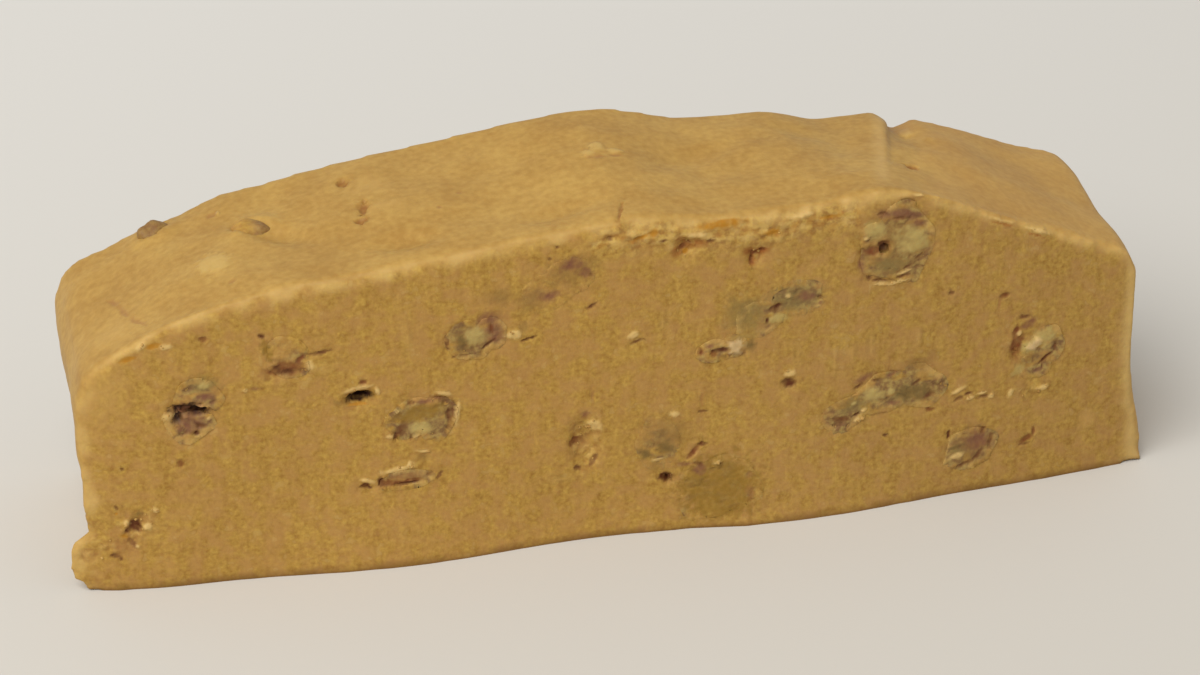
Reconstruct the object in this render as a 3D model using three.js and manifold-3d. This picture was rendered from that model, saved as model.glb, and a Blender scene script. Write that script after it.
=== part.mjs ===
// Penuche fudge: one slice of a hand-formed loaf, with walnut pieces showing in both cuts.
// Units are millimetres and +Z is up. The slice stands on Z = 0 with its length along X,
// and its front cut looks towards -Y.

import * as THREE from 'three';
import { mergeVertices } from 'three/addons/utils/BufferGeometryUtils.js';
import Module from 'manifold-3d';

const wasm = await Module();
wasm.setup();

// Driving dimensions of the slice

const DEPTH = 34;
const LEFT_CROWN_RADIUS = 3.8;
const RIGHT_CROWN_RADIUS = 2.4;
const FOOT_RADIUS = 1.6;
const WALL_HEIGHT = 29;
const GAP = 0.3;

// Height of the hand-smoothed top along X, at the front cut and at the back cut
const FRONT_CROWN = [
  [-76, 29.4], [-66, 36.4], [-60, 39.4], [-50, 42.0], [-40, 43.3], [-20, 45.6], [0, 47.6],
  [14, 46.9], [28, 47.5], [37, 48.3], [44, 46.4], [50, 43.5], [60, 39.2], [78, 31.6],
];
const BACK_CROWN = [
  [-76, 29.6], [-66, 34.1], [-60, 36.3], [-50, 40.2], [-40, 42.8], [-20, 46.0], [-4, 48.1], [7, 48.4],
  [13, 46.6], [28, 45.5], [36, 43.9], [42, 44.0], [50, 42.4], [60, 39.0], [68, 36.2], [78, 32.4],
];

// Place of each end along X by height. The left foot has a lip with a notch above it, which dies away
// towards the back, and the right foot flares.
const LEFT_FRONT = [
  [0, -73.8], [3, -75.0], [6, -74.9], [8.4, -73.6], [10.2, -72.2], [20, -73.1], [40, -72.4],
];
const LEFT_BACK = [[0, -69.4], [10, -69.8], [18, -71.0], [25, -72.6], [40, -72.6]];
const RIGHT_END = [[0, 76.2], [2.5, 76.4], [6, 75.8], [10, 74.9], [16, 74.3], [28, 73.8], [40, 73.4]];

// The front cut is straight in the middle and falls back towards both ends. Its foot swells twice.
const STRAIGHT_FROM = -58;
const STRAIGHT_TO = 30;
const LEFT_FALL = 2;
const RIGHT_FALL = 3.4;
const FALL_END = 75;
const SWELL = 1.8;
const SWELL_PLACE = -3;
const SWELL_SPACING = 54;
const SWELL_HEIGHT = 9;

// A fold across the top: the skin drops at FOLD_X on the back cut and levels out again to the right
const FOLD_X = 46;
const FOLD_LEAN = 3.5;
const FOLD_DROP = 2.2;
const FOLD_FACE = 1.8;
const FOLD_RUN = 4.2;

// The fold is flat near the front cut and at its full depth near the back cut (0 is front, 1 is back)
const FOLD_STARTS = 0.25;
const FOLD_FULL = 0.9;

// Slow waves that the hands left in the top, slanting by WAVE_SLANT from front to back
const WAVE_HEIGHT = 0.45;
const WAVE_LENGTH = 27;
const WAVE_SLANT = 14;

// Grid of the slice: columns along the length, rows up, layers through the depth
const COLUMNS = 48;
const ROWS = 8;
const LAYERS = 5;
const END_CROWDING = 0.55;
const FOOT_CROWDING = 1.3;

// Walnut pieces in the front cut. Each lobe is [x, z, half width, half height, turn in degrees] on the
// cut, and a hollow in a piece is written as a pit is.
const FRONT_WALNUTS = [
  {
    lobes: [[-56.9, 28.5, 2.8, 2.3, -12], [-58.1, 25.2, 3.0, 2.8, 8]],
    hollow: [-57.5, 26.7, 2.7, 0.9, 1.1, -6],
  },
  { lobes: [[-45.0, 32.9, 2.3, 2.9, 20]] },
  { lobes: [[-28.7, 21.9, 3.7, 2.3, 20], [-25.4, 21.4, 2.1, 3.0, -18]] },
  { lobes: [[-29.8, 12.8, 3.3, 1.0, 4]] },
  { lobes: [[-20.9, 32.6, 3.0, 2.5, 0], [-17.9, 33.5, 1.6, 2.1, 20]] },
  { lobes: [[-10.2, 38.7, 3.2, 2.4, 15], [-7.2, 40.6, 3.0, 2.3, 0]] },
  { lobes: [[5.0, 14.0, 2.7, 3.7, -6]] },
  { lobes: [[12.7, 27.1, 2.4, 1.2, 8], [15.4, 27.8, 1.3, 1.3, 0]] },
  { lobes: [[13.6, 5.9, 5.7, 4.4, 0]] },
  { lobes: [[19.0, 31.6, 3.6, 2.3, 28], [24.0, 34.0, 3.8, 2.3, -8]] },
  { lobes: [[37.6, 40.0, 5.0, 5.6, -10]], hollow: [35.9, 39.9, 1.2, 1.2, 1.4, 0] },
  { lobes: [[31.2, 15.2, 3.2, 2.0, 20], [36.4, 17.4, 4.0, 2.7, 15], [42.0, 18.1, 3.6, 3.0, -10]] },
  { lobes: [[49.8, 7.1, 3.8, 3.1, 18]] },
  { lobes: [[60.4, 21.6, 2.5, 2.5, 30], [58.9, 18.6, 2.0, 1.9, 30]] },
];

// The back cut holds pieces of the same sizes, as sparsely and unevenly spread
const BACK_WALNUTS = [
  { lobes: [[-57.0, 17.0, 4.0, 3.0, 20]] },
  { lobes: [[-42.0, 29.5, 3.0, 3.8, 0], [-39.4, 26.6, 2.2, 2.0, 0]] },
  { lobes: [[-29.0, 11.5, 4.6, 2.3, -15]] },
  { lobes: [[-13.0, 34.0, 3.6, 2.9, 30]] },
  { lobes: [[-3.5, 18.0, 5.2, 3.3, 10], [1.8, 19.6, 2.7, 2.2, 0]] },
  { lobes: [[18.0, 36.5, 4.4, 2.7, -20]] },
  { lobes: [[26.0, 10.0, 3.3, 4.2, 0]] },
  { lobes: [[41.0, 26.0, 4.0, 3.1, 25], [46.0, 28.2, 3.0, 2.3, 10]] },
  { lobes: [[59.0, 12.5, 3.4, 2.7, -10]] },
];

// Walnut pieces that stand a little proud of the top:
// [x, y, half length, half width, half height, turn in degrees, how far it stands proud]
const TOP_WALNUTS = [
  [-58.6, 13.2, 2.3, 1.7, 1.7, 15, 0.9],
  [-46.2, 4.0, 2.7, 1.8, 1.5, -25, 0.45],
];

// Air pockets and torn pits in the front cut: [x, z, half width, half height, depth, turn in degrees]
const FRONT_PITS = [
  [-66.3, 9.4, 0.9, 1.2, 2.2, -20],
  [-35.7, 25.8, 2.1, 0.85, 3.2, 6],
  [-35.3, 12.0, 0.9, 0.7, 1.6, 0],
  [-5.4, 14.8, 2.2, 4.6, 1.3, 8],
  [6.6, 8.3, 1.1, 1.2, 2.0, 0],
  [8.6, 43.0, 1.8, 1.7, 1.3, 0],
  [18.2, 40.7, 1.7, 1.6, 1.2, 0],
  [23.1, 20.9, 1.2, 1.0, 2.2, -10],
  [56.6, 21.6, 0.8, 2.0, 1.8, -8],
];

// Small holes in the top: [x, y, radius, depth]
const TOP_PITS = [
  [-33.2, 9.3, 0.95, 1.3],
  [-32.1, -0.9, 1.1, 0.9],
  [42.9, -4.4, 0.9, 1.1],
];

// Walnut shape: bumps as [height, waves along X, along Y, along Z] on a kernel of radius 1, the thickness
// of a piece against its width on the cut, how far its middle lies behind the cut, and the size from which
// a lobe gets a finer mesh
const BUMPS = [[0.10, 3.1, 0.0, 5.3], [0.07, -4.1, 6.2, 1.2], [0.05, 1.4, 3.7, 7.9]];
const KERNEL_THICKNESS = 0.8;
const KERNEL_SUNK = 0.25;
const LARGE_KERNEL = 4.2;
const COARSE = 1;
const FINE = 2;

// First seed of the kernels in each place, and the step from one kernel to the next
const SEEDS = { front: 0, back: 50, top: 90 };
const SEED_STEP = 2.4;
const BUMP_SEED = 1.7;

// Vertices closer than this are one vertex
const WELD = 1e-5;

// Colours of the cut fudge and of a walnut kernel
const FUDGE_LOOK = { color: '#b58d4b', roughness: 0.6, metalness: 0 };
const WALNUT_LOOK = { color: '#8d7743', roughness: 0.65, metalness: 0 };

// Smooth line through a few points, as a function of its first coordinate

function smoothLine(points) {
  const places = points.map((point) => point[0]);
  const values = points.map((point) => point[1]);
  const line = new THREE.CubicInterpolant(places, values, 1);
  return (place) => line.evaluate(THREE.MathUtils.clamp(place, places[0], places.at(-1)))[0];
}

const frontCrown = smoothLine(FRONT_CROWN);
const backCrown = smoothLine(BACK_CROWN);
const leftFront = smoothLine(LEFT_FRONT);
const leftBack = smoothLine(LEFT_BACK);
const rightEnd = smoothLine(RIGHT_END);

// Form of the slice

function frontCut(x) {
  const left = Math.max(0, (STRAIGHT_FROM - x) / (FALL_END + STRAIGHT_FROM));
  const right = Math.max(0, (x - STRAIGHT_TO) / (FALL_END - STRAIGHT_TO));
  return -DEPTH / 2 + LEFT_FALL * left ** 2 + RIGHT_FALL * right ** 2;
}

function backShare(x, y) {
  return (y - frontCut(x)) / (DEPTH / 2 - frontCut(x));
}

function footSwell(x, z) {
  const away = Math.abs(x - SWELL_PLACE);
  const swells = away < SWELL_SPACING ? (1 - Math.cos((2 * Math.PI * away) / SWELL_SPACING)) / 2 : 0;
  return SWELL * swells * Math.exp(-z / SWELL_HEIGHT);
}

function frontFace(x, z) {
  return frontCut(x) - footSwell(x, z);
}

function foldDrop(x, back) {
  const past = x - (FOLD_X - FOLD_LEAN * (1 - back));
  const face = THREE.MathUtils.smoothstep(past, -FOLD_FACE / 2, FOLD_FACE / 2);
  const rise = 1 - THREE.MathUtils.smoothstep(past, FOLD_FACE, FOLD_RUN);
  return FOLD_DROP * face * rise * THREE.MathUtils.smoothstep(back, FOLD_STARTS, FOLD_FULL);
}

function crownHeight(x, back) {
  const swell = THREE.MathUtils.lerp(frontCrown(x), backCrown(x), back);
  const turn = (2 * Math.PI * (x + WAVE_SLANT * back)) / WAVE_LENGTH;
  const wave = WAVE_HEIGHT * Math.sin(turn) * Math.sin(Math.PI * back);
  return swell + wave - foldDrop(x, back);
}

function roundedOff(fromEnd, radius) {
  const inside = Math.max(0, radius - fromEnd);
  return radius - Math.sqrt(radius ** 2 - inside ** 2);
}

// Moves a point of a unit block (0 to 1 along, back and up) onto the slice

function sliceSurface(along, back, up) {
  const spread = along - (END_CROWDING * Math.sin(2 * Math.PI * along)) / (2 * Math.PI);
  const level = up ** FOOT_CROWDING;
  const height = level * WALL_HEIGHT;
  const left = THREE.MathUtils.lerp(leftFront(height), leftBack(height), Math.sqrt(back));
  const right = rightEnd(height);
  const x = THREE.MathUtils.lerp(left, right, spread);
  const crownLoss = roundedOff(x - left, LEFT_CROWN_RADIUS) + roundedOff(right - x, RIGHT_CROWN_RADIUS);
  const top = crownHeight(x, back) - crownLoss;
  const foot = roundedOff(Math.min(x - left, right - x), FOOT_RADIUS);
  const z = THREE.MathUtils.lerp(foot, top, level);
  const y = THREE.MathUtils.lerp(frontFace(x, z), DEPTH / 2, back);
  return new THREE.Vector3(x, y, z);
}

// Closed meshes to solids and back

function bareGeometry(geometry) {
  geometry.deleteAttribute('normal');
  geometry.deleteAttribute('uv');
  return mergeVertices(geometry, WELD);
}

function toSolid(geometry) {
  const vertProperties = new Float32Array(geometry.attributes.position.array);
  const triVerts = new Uint32Array(geometry.index.array);
  return new wasm.Manifold(new wasm.Mesh({ numProp: 3, vertProperties, triVerts }));
}

function toGeometry(solid) {
  const mesh = solid.getMesh();
  const geometry = new THREE.BufferGeometry();
  geometry.setAttribute('position', new THREE.BufferAttribute(mesh.vertProperties, 3));
  geometry.setIndex(new THREE.BufferAttribute(mesh.triVerts, 1));
  geometry.computeVertexNormals();
  return geometry;
}

function moveVertices(geometry, place) {
  const position = geometry.attributes.position;
  const vertex = new THREE.Vector3();
  for (let i = 0; i < position.count; i += 1) {
    vertex.fromBufferAttribute(position, i);
    vertex.copy(place(vertex));
    position.setXYZ(i, vertex.x, vertex.y, vertex.z);
  }
  return geometry;
}

// The uncut slice, without pits or walnuts

function wholeSlice() {
  const block = bareGeometry(new THREE.BoxGeometry(1, 1, 1, COLUMNS, LAYERS, ROWS));
  return toSolid(moveVertices(block, (p) => sliceSurface(p.x + 0.5, p.y + 0.5, p.z + 0.5)));
}

// A rounded lump with half sizes along X, Y and Z, turned about the Y axis

function lump(half, turn, centre, detail, shape) {
  const geometry = bareGeometry(new THREE.IcosahedronGeometry(1, detail));
  moveVertices(geometry, shape);
  geometry.scale(half.x, half.y, half.z);
  geometry.rotateY(THREE.MathUtils.degToRad(-turn));
  geometry.translate(centre.x, centre.y, centre.z);
  return toSolid(geometry);
}

function kernelShape(seed) {
  return (point) => {
    let size = 1;
    BUMPS.forEach(([height, alongX, alongY, alongZ], number) => {
      const phase = alongX * point.x + alongY * point.y + alongZ * point.z + seed * (number + BUMP_SEED);
      size += height * Math.sin(phase);
    });
    return point.clone().multiplyScalar(size);
  };
}

const plainShape = (point) => point;

// A walnut piece in one of the cuts, made of its lobes and grown by a margin

const FRONT = -1;
const BACK = 1;

function cutKernel(piece, facing, seed, margin) {
  const lobes = piece.lobes.map(([x, z, halfWide, halfHigh, turn], number) => {
    const halfDeep = (KERNEL_THICKNESS * (halfWide + halfHigh)) / 2;
    const face = facing === FRONT ? frontFace(x, z) : DEPTH / 2;
    const centre = new THREE.Vector3(x, face - facing * KERNEL_SUNK * halfDeep, z);
    const half = new THREE.Vector3(halfWide, halfDeep, halfHigh).addScalar(margin);
    const detail = halfWide > LARGE_KERNEL ? FINE : COARSE;
    return lump(half, turn, centre, detail, kernelShape(seed + number));
  });
  return lobes.reduce((kernel, lobe) => kernel.add(lobe));
}

function topKernel([x, y, halfLong, halfWide, halfHigh, turn, proud], seed, margin) {
  const back = backShare(x, y);
  const geometry = bareGeometry(new THREE.IcosahedronGeometry(1, COARSE));
  moveVertices(geometry, kernelShape(seed));
  geometry.scale(halfLong + margin, halfWide + margin, halfHigh + margin);
  geometry.rotateZ(THREE.MathUtils.degToRad(turn));
  geometry.translate(x, y, crownHeight(x, back) + proud - halfHigh);
  return toSolid(geometry);
}

function frontPit([x, z, halfWide, halfHigh, depth, turn]) {
  const half = new THREE.Vector3(halfWide, depth, halfHigh);
  return lump(half, turn, new THREE.Vector3(x, frontFace(x, z), z), COARSE, plainShape);
}

function topPit([x, y, radius, depth]) {
  const back = backShare(x, y);
  const half = new THREE.Vector3(radius, radius, depth);
  return lump(half, 0, new THREE.Vector3(x, y, crownHeight(x, back)), COARSE, plainShape);
}

// The finished pieces

const whole = wholeSlice();
const pieces = new THREE.Group();

function addPiece(name, solid, look) {
  const mesh = new THREE.Mesh(toGeometry(solid), new THREE.MeshStandardMaterial(look));
  mesh.name = name;
  pieces.add(mesh);
}

let fudge = whole;

function addCutWalnuts(walnuts, facing, side) {
  walnuts.forEach((piece, number) => {
    const seed = SEEDS[side] + number * SEED_STEP;
    let kernel = cutKernel(piece, facing, seed, 0).intersect(whole);
    if (piece.hollow) {
      kernel = kernel.subtract(frontPit(piece.hollow));
    }
    fudge = fudge.subtract(cutKernel(piece, facing, seed, GAP));
    addPiece(`walnut_${side}_${String(number + 1).padStart(2, '0')}`, kernel, WALNUT_LOOK);
  });
}

addCutWalnuts(FRONT_WALNUTS, FRONT, 'front');
addCutWalnuts(BACK_WALNUTS, BACK, 'back');

TOP_WALNUTS.forEach((piece, number) => {
  const seed = SEEDS.top + number * SEED_STEP;
  fudge = fudge.subtract(topKernel(piece, seed, GAP));
  addPiece(`walnut_top_${String(number + 1).padStart(2, '0')}`, topKernel(piece, seed, 0), WALNUT_LOOK);
});

FRONT_PITS.forEach((pit) => {
  fudge = fudge.subtract(frontPit(pit));
});
TOP_PITS.forEach((pit) => {
  fudge = fudge.subtract(topPit(pit));
});

addPiece('fudge', fudge, FUDGE_LOOK);

// The origin lies on the foot, under the middle of the slice

const middle = new THREE.Box3().setFromObject(pieces).getCenter(new THREE.Vector3());
pieces.position.set(-middle.x, -middle.y, 0);

export default pieces;
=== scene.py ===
# %% [markdown]
# A slice of penuche, a brown-sugar fudge with chopped walnuts. The loaf was patted smooth by hand, so its
# top and ends have a satin skin, and the slice was cut with a knife, so its front and back are matt and
# show walnuts, air holes and torn crumbs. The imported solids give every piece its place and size. This file
# dresses them: each solid is copied, given a fine even skin, sculpted, and painted with materials made from
# nodes.

import math

import bpy
import numpy as np
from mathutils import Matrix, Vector, kdtree, noise


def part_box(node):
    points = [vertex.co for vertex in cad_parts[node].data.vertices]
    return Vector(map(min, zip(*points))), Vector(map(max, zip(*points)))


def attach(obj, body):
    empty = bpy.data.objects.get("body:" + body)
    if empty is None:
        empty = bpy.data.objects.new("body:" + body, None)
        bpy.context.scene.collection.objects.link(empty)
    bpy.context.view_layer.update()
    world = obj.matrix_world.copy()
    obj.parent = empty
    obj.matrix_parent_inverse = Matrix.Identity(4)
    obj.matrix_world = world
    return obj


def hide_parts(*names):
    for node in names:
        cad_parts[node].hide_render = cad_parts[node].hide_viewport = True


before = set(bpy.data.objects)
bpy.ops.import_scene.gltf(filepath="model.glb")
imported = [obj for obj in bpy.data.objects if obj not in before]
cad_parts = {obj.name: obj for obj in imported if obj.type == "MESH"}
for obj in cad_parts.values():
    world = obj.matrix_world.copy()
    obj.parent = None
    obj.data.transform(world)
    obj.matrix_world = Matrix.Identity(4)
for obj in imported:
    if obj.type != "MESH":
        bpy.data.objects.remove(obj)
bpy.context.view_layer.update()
MM = 0.001

# %% [markdown]
# The camera stands a forearm's length in front of the slice, a little to its left, and looks down on it. A
# long lens keeps the slice's edges nearly parallel, as in a close-up taken with some zoom.

# %% Camera
VIEW_TURN = math.radians(-12.77)
VIEW_HEIGHT = math.radians(28)
VIEW_DISTANCE = 480 * MM
VIEW_TARGET = Vector((0.05, 0.9, 21.75)) * MM
LENS = 103.72

toward_camera = Vector((
    math.sin(VIEW_TURN) * math.cos(VIEW_HEIGHT),
    -math.cos(VIEW_TURN) * math.cos(VIEW_HEIGHT),
    math.sin(VIEW_HEIGHT),
))
bpy.ops.object.camera_add(
    location=VIEW_TARGET + toward_camera * VIEW_DISTANCE,
    rotation=(-toward_camera).to_track_quat("-Z", "Y").to_euler(),
)
camera = bpy.context.object
camera.data.lens = LENS
bpy.context.scene.camera = camera
print("camera at, in mm:", [round(side / MM, 1) for side in camera.location])

# %% [markdown]
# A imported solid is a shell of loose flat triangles. Before it can be sculpted, its corners are welded and
# it is covered with an even net of small squares. The Remesh modifier in voxel mode does that in one step.
# A Subdivision Surface would keep the long thin triangles and round the knife-cut edges away.

# %% Welded, evenly meshed copies of the solids
WELD = 0.005 * MM
FUDGE_MESH = 0.86 * MM


def select_only(piece):
    bpy.ops.object.select_all(action="DESELECT")
    piece.select_set(True)
    bpy.context.view_layer.objects.active = piece


def apply_modifier(piece, kind, **settings):
    select_only(piece)
    modifier = piece.modifiers.new(kind.title(), kind)
    for setting, value in settings.items():
        setattr(modifier, setting, value)
    bpy.ops.object.modifier_apply(modifier=modifier.name)


def even_copy(node_name, piece_name, mesh_size):
    piece = bpy.data.objects.new(piece_name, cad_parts[node_name].data.copy())
    piece.data.materials.clear()
    bpy.context.scene.collection.objects.link(piece)
    select_only(piece)
    bpy.ops.object.mode_set(mode="EDIT")
    bpy.ops.mesh.select_all(action="SELECT")
    bpy.ops.mesh.remove_doubles(threshold=WELD)
    bpy.ops.object.mode_set(mode="OBJECT")
    apply_modifier(piece, "REMESH", mode="VOXEL", voxel_size=mesh_size)
    return piece


slice_body = even_copy("fudge", "fudge_slice", FUDGE_MESH)
print("fudge faces after the remesh:", len(slice_body.data.polygons))

# %% [markdown]
# Sculpting in code needs three things: where every vertex is and which way it faces, a soft step from 0 to
# 1, and smooth noise that is the same in every run. All places are in millimetres from here on.

# %% Places, facings and noise
SEED_STEP = 17.3


def read_triples(items, field):
    values = np.empty(len(items) * 3, np.float32)
    items.foreach_get(field, values)
    return values.reshape(-1, 3).astype(float)


def places_of(piece):
    return read_triples(piece.data.vertices, "co") / MM


def facings_of(piece):
    return read_triples(piece.data.vertex_normals, "vector")


def put_places(piece, places):
    piece.data.vertices.foreach_set("co", (places * MM).astype(np.float32).ravel())
    piece.data.update()


def soft_step(low, high, value):
    share = np.clip((value - low) / (high - low), 0, 1)
    return share * share * (3 - 2 * share)


def rough(places, sizes, seed):
    """Noise from about -1 to 1. The sizes of its bumps, in millimetres, are one number or one per axis."""
    spots = places / np.asarray(sizes, float) + seed * SEED_STEP
    return np.array([noise.noise(spot) for spot in spots.tolist()])


def waves(places, layers):
    """Layers of noise added up, each given by its height, the sizes of its bumps and its seed."""
    return sum(height * rough(places, sizes, seed) for height, sizes, seed in layers)


# %% [markdown]
# The edges of the cuts are measured from the mesh, strip by strip: where each cut stands at mid height and
# just above the foot, where the soft slice has spread, how high it reaches, and where it ends on the left
# and on the right. The sculpting below follows these lines.

# %% Lines of the two cuts
STRIP = 2.0
OUT = {"front": -1, "back": 1}
FLAT_ON = 0.9
FOOT_LINE = 3.0
FOOT_SWELL = 9.0
ABOVE_SWELL = 14.0


def measure_line(places, wanted, along, axis, pick, strip=STRIP):
    stations, values = [], []
    for station in np.arange(places[:, along].min(), places[:, along].max(), strip):
        near = wanted & (np.abs(places[:, along] - station) < strip)
        if near.any():
            stations.append(station)
            values.append(pick(places[near, axis]))
    return lambda place: np.interp(place, stations, values)


def measure_cut(side):
    places, facings = places_of(slice_body), facings_of(slice_body)
    looks_out = facings[:, 1] * OUT[side] > FLAT_ON
    at_foot = np.abs(places[:, 2] - FOOT_LINE) < STRIP / 2
    return {
        "plane": measure_line(places, looks_out & (places[:, 2] > ABOVE_SWELL), 0, 1, np.median),
        "foot": measure_line(places, looks_out & at_foot, 0, 1, np.median),
        "crown": measure_line(places, looks_out, 0, 2, np.max),
        "left": measure_line(places, looks_out, 2, 0, np.min),
        "right": measure_line(places, looks_out, 2, 0, np.max),
    }


def cut_surface(places, side):
    """How far forward or back the plain cut stands at these places, with its spread at the foot."""
    plane = cuts[side]["plane"](places[:, 0])
    spread = cuts[side]["foot"](places[:, 0]) - plane
    return plane + spread * np.exp(-(places[:, 2] - FOOT_LINE) / FOOT_SWELL)


def depth_in_cut(places, side):
    return (cut_surface(places, side) - places[:, 1]) * OUT[side]


def from_outline(places, side):
    """Distances from the crown line, the left end and the right end of a cut, one column each."""
    gaps = np.stack([
        cuts[side]["crown"](places[:, 0]) - places[:, 2],
        places[:, 0] - cuts[side]["left"](places[:, 2]),
        cuts[side]["right"](places[:, 2]) - places[:, 0],
    ], axis=1)
    return np.hypot(np.maximum(gaps, 0), np.maximum(depth_in_cut(places, side), 0)[:, None])


cuts = {side: measure_cut(side) for side in OUT}
for side, cut in cuts.items():
    print(side, "cut: plane at", np.round(cut["plane"](np.array([-70, 0, 70])), 1),
          "crown at", np.round(cut["crown"](np.array([-70, 0, 70])), 1))

# %% [markdown]
# The hand-smoothed skin has no facets. Smooth modifiers melt them away, each pull inwards followed by a
# slightly stronger push outwards, so that the slice keeps its size. A vertex group keeps the long smoothing
# off the cuts and off the walnuts in the top. The crown is then raised a little, most along the back edge,
# by what the rounding takes from it.

# %% Smooth skin on the top and the ends
SMOOTH_PULL = 0.5
SMOOTH_PUSH = -0.53
EDGE_KEPT = (0.3, 2.5)
WALNUT_KEPT = 1.5
END = 68.0
TOP_SKIN = (2.2, 3.4)
END_TURN = (0.25, 0.55)
BEHIND_EDGE = (0.0, 0.7)
CUT_TURN = (0.75, 0.95)
LIFT_TO_BACK = (0.25, 0.95)
FAINT = 0.01
SKYLINE = [
    (-76, 1.1), (-70, 0.9), (-66, 0.6), (-61, 1.1), (-56, 0.6), (-50, 1.0), (-44, 0.4), (-12, 0.5), (0, 0.7),
    (12, 0.4), (22, 0.4), (28, 0.8), (34, 0.3), (40, 0.4), (46, 0.6), (56, 0.5), (64, 0.2), (70, 0.6),
]
DOME = [(-70, 0.2), (50, 0.4), (66, 0.8)]


def inside_cuts(places):
    """Distance from the nearer cut, in millimetres."""
    return np.minimum(depth_in_cut(places, "front"), depth_in_cut(places, "back"))


def share_to_back(places):
    """0 on the front cut, 1 on the back cut and between them in the middle."""
    from_front = np.maximum(depth_in_cut(places, "front"), 0)
    from_back = np.maximum(depth_in_cut(places, "back"), 0)
    return from_front / np.maximum(from_front + from_back, FAINT)


def below_crown(places):
    """How far a place lies under the line from the front crown to the back crown."""
    x = places[:, 0]
    share = share_to_back(places)
    return cuts["front"]["crown"](x) * (1 - share) + cuts["back"]["crown"](x) * share - places[:, 2]


def on_top(places):
    return 1 - soft_step(*TOP_SKIN, below_crown(places))


def skin_share(places, facings):
    """1 on the hand-smoothed top and ends, 0 on the cuts and in their holes."""
    on_end = soft_step(*END_TURN, np.abs(facings[:, 0])) * (np.abs(places[:, 0]) > END)
    behind_edge = soft_step(*BEHIND_EDGE, inside_cuts(places))
    off_cut = 1 - soft_step(*CUT_TURN, np.abs(facings[:, 1]))
    return np.maximum(on_top(places), on_end) * behind_edge * off_cut


def box_of(node_name):
    return [np.array(corner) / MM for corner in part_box(node_name)]


def beside(places, prefix, margin):
    """Where a place lies in or near the box of a solid whose name starts with the prefix."""
    near = np.zeros(len(places), bool)
    for node_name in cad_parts:
        if node_name.startswith(prefix):
            low, high = box_of(node_name)
            near |= ((places > low - margin) & (places < high + margin)).all(1)
    return near


def crown_lift(places):
    share = share_to_back(places)
    lift = np.interp(places[:, 0], *zip(*SKYLINE)) * soft_step(*LIFT_TO_BACK, share)
    lift += np.interp(places[:, 0], *zip(*DOME)) * np.sin(math.pi * share)
    return lift * on_top(places)


def weight_group(piece, name, weights):
    group = piece.vertex_groups.new(name=name)
    for index in np.flatnonzero(weights > FAINT).tolist():
        group.add([index], float(weights[index]), "REPLACE")
    return name


def melt_facets(piece, rounds, turns, group=""):
    for _ in range(rounds):
        for factor in (SMOOTH_PULL, SMOOTH_PUSH):
            apply_modifier(piece, "SMOOTH", factor=factor, iterations=turns, vertex_group=group)


melt_facets(slice_body, rounds=2, turns=3)
places, facings = places_of(slice_body), facings_of(slice_body)
weights = skin_share(places, facings) * soft_step(*EDGE_KEPT, inside_cuts(places))
weights[beside(places, "walnut_top", WALNUT_KEPT)] = 0
melt_facets(slice_body, rounds=6, turns=8, group=weight_group(slice_body, "hand_smoothed", weights))
slice_body.vertex_groups.clear()
places = places_of(slice_body)
places[:, 2] += crown_lift(places)
put_places(slice_body, places)
print("smoothed vertices:", int((weights > 0.5).sum()))

# %% [markdown]
# The slice stands on a sharp edge at the foot of each cut, and the voxels have nibbled it. Vertices near
# that edge are put back on the cut if they look outwards, and on the table if they look down. The right
# front corner flares to a point.

# %% Sharp foot of the cuts
FOOT_EDGE = 1.3
FOOT_ENDS = (-72, 76)
LEANS = 0.3
END_FOOT = 1.0
FLARE = 1.4
FLARE_ALONG = (70, 75)
FLARE_DEPTH = (-10, 4)
FLARE_HEIGHT = 1.5


def sharpen_foot(side):
    places, facings = places_of(slice_body), facings_of(slice_body)
    near = (places[:, 2] < FOOT_EDGE) & (np.abs(depth_in_cut(places, side)) < FOOT_EDGE)
    near &= (places[:, 0] > FOOT_ENDS[0]) & (places[:, 0] < FOOT_ENDS[1])
    stands = near & (facings[:, 1] * OUT[side] > LEANS)
    lies = near & (facings[:, 2] < -LEANS)
    places[lies, 2] = 0
    places[stands, 1] = cut_surface(places, side)[stands]
    put_places(slice_body, places)
    print(side, "foot vertices moved:", int((stands | lies).sum()))


for side in OUT:
    sharpen_foot(side)
places, facings = places_of(slice_body), facings_of(slice_body)
lies = (np.abs(places[:, 0]) > END) & (places[:, 2] < END_FOOT) & (facings[:, 2] < -LEANS)
places[lies, 2] = 0
at_corner = soft_step(*FLARE_ALONG, places[:, 0]) * (1 - soft_step(*FLARE_DEPTH, places[:, 1]))
places[:, 0] += FLARE * at_corner * np.exp(-places[:, 2] / FLARE_HEIGHT)
put_places(slice_body, places)
print("right end at, mm:", round(float(places[:, 0].max()), 2))
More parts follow.
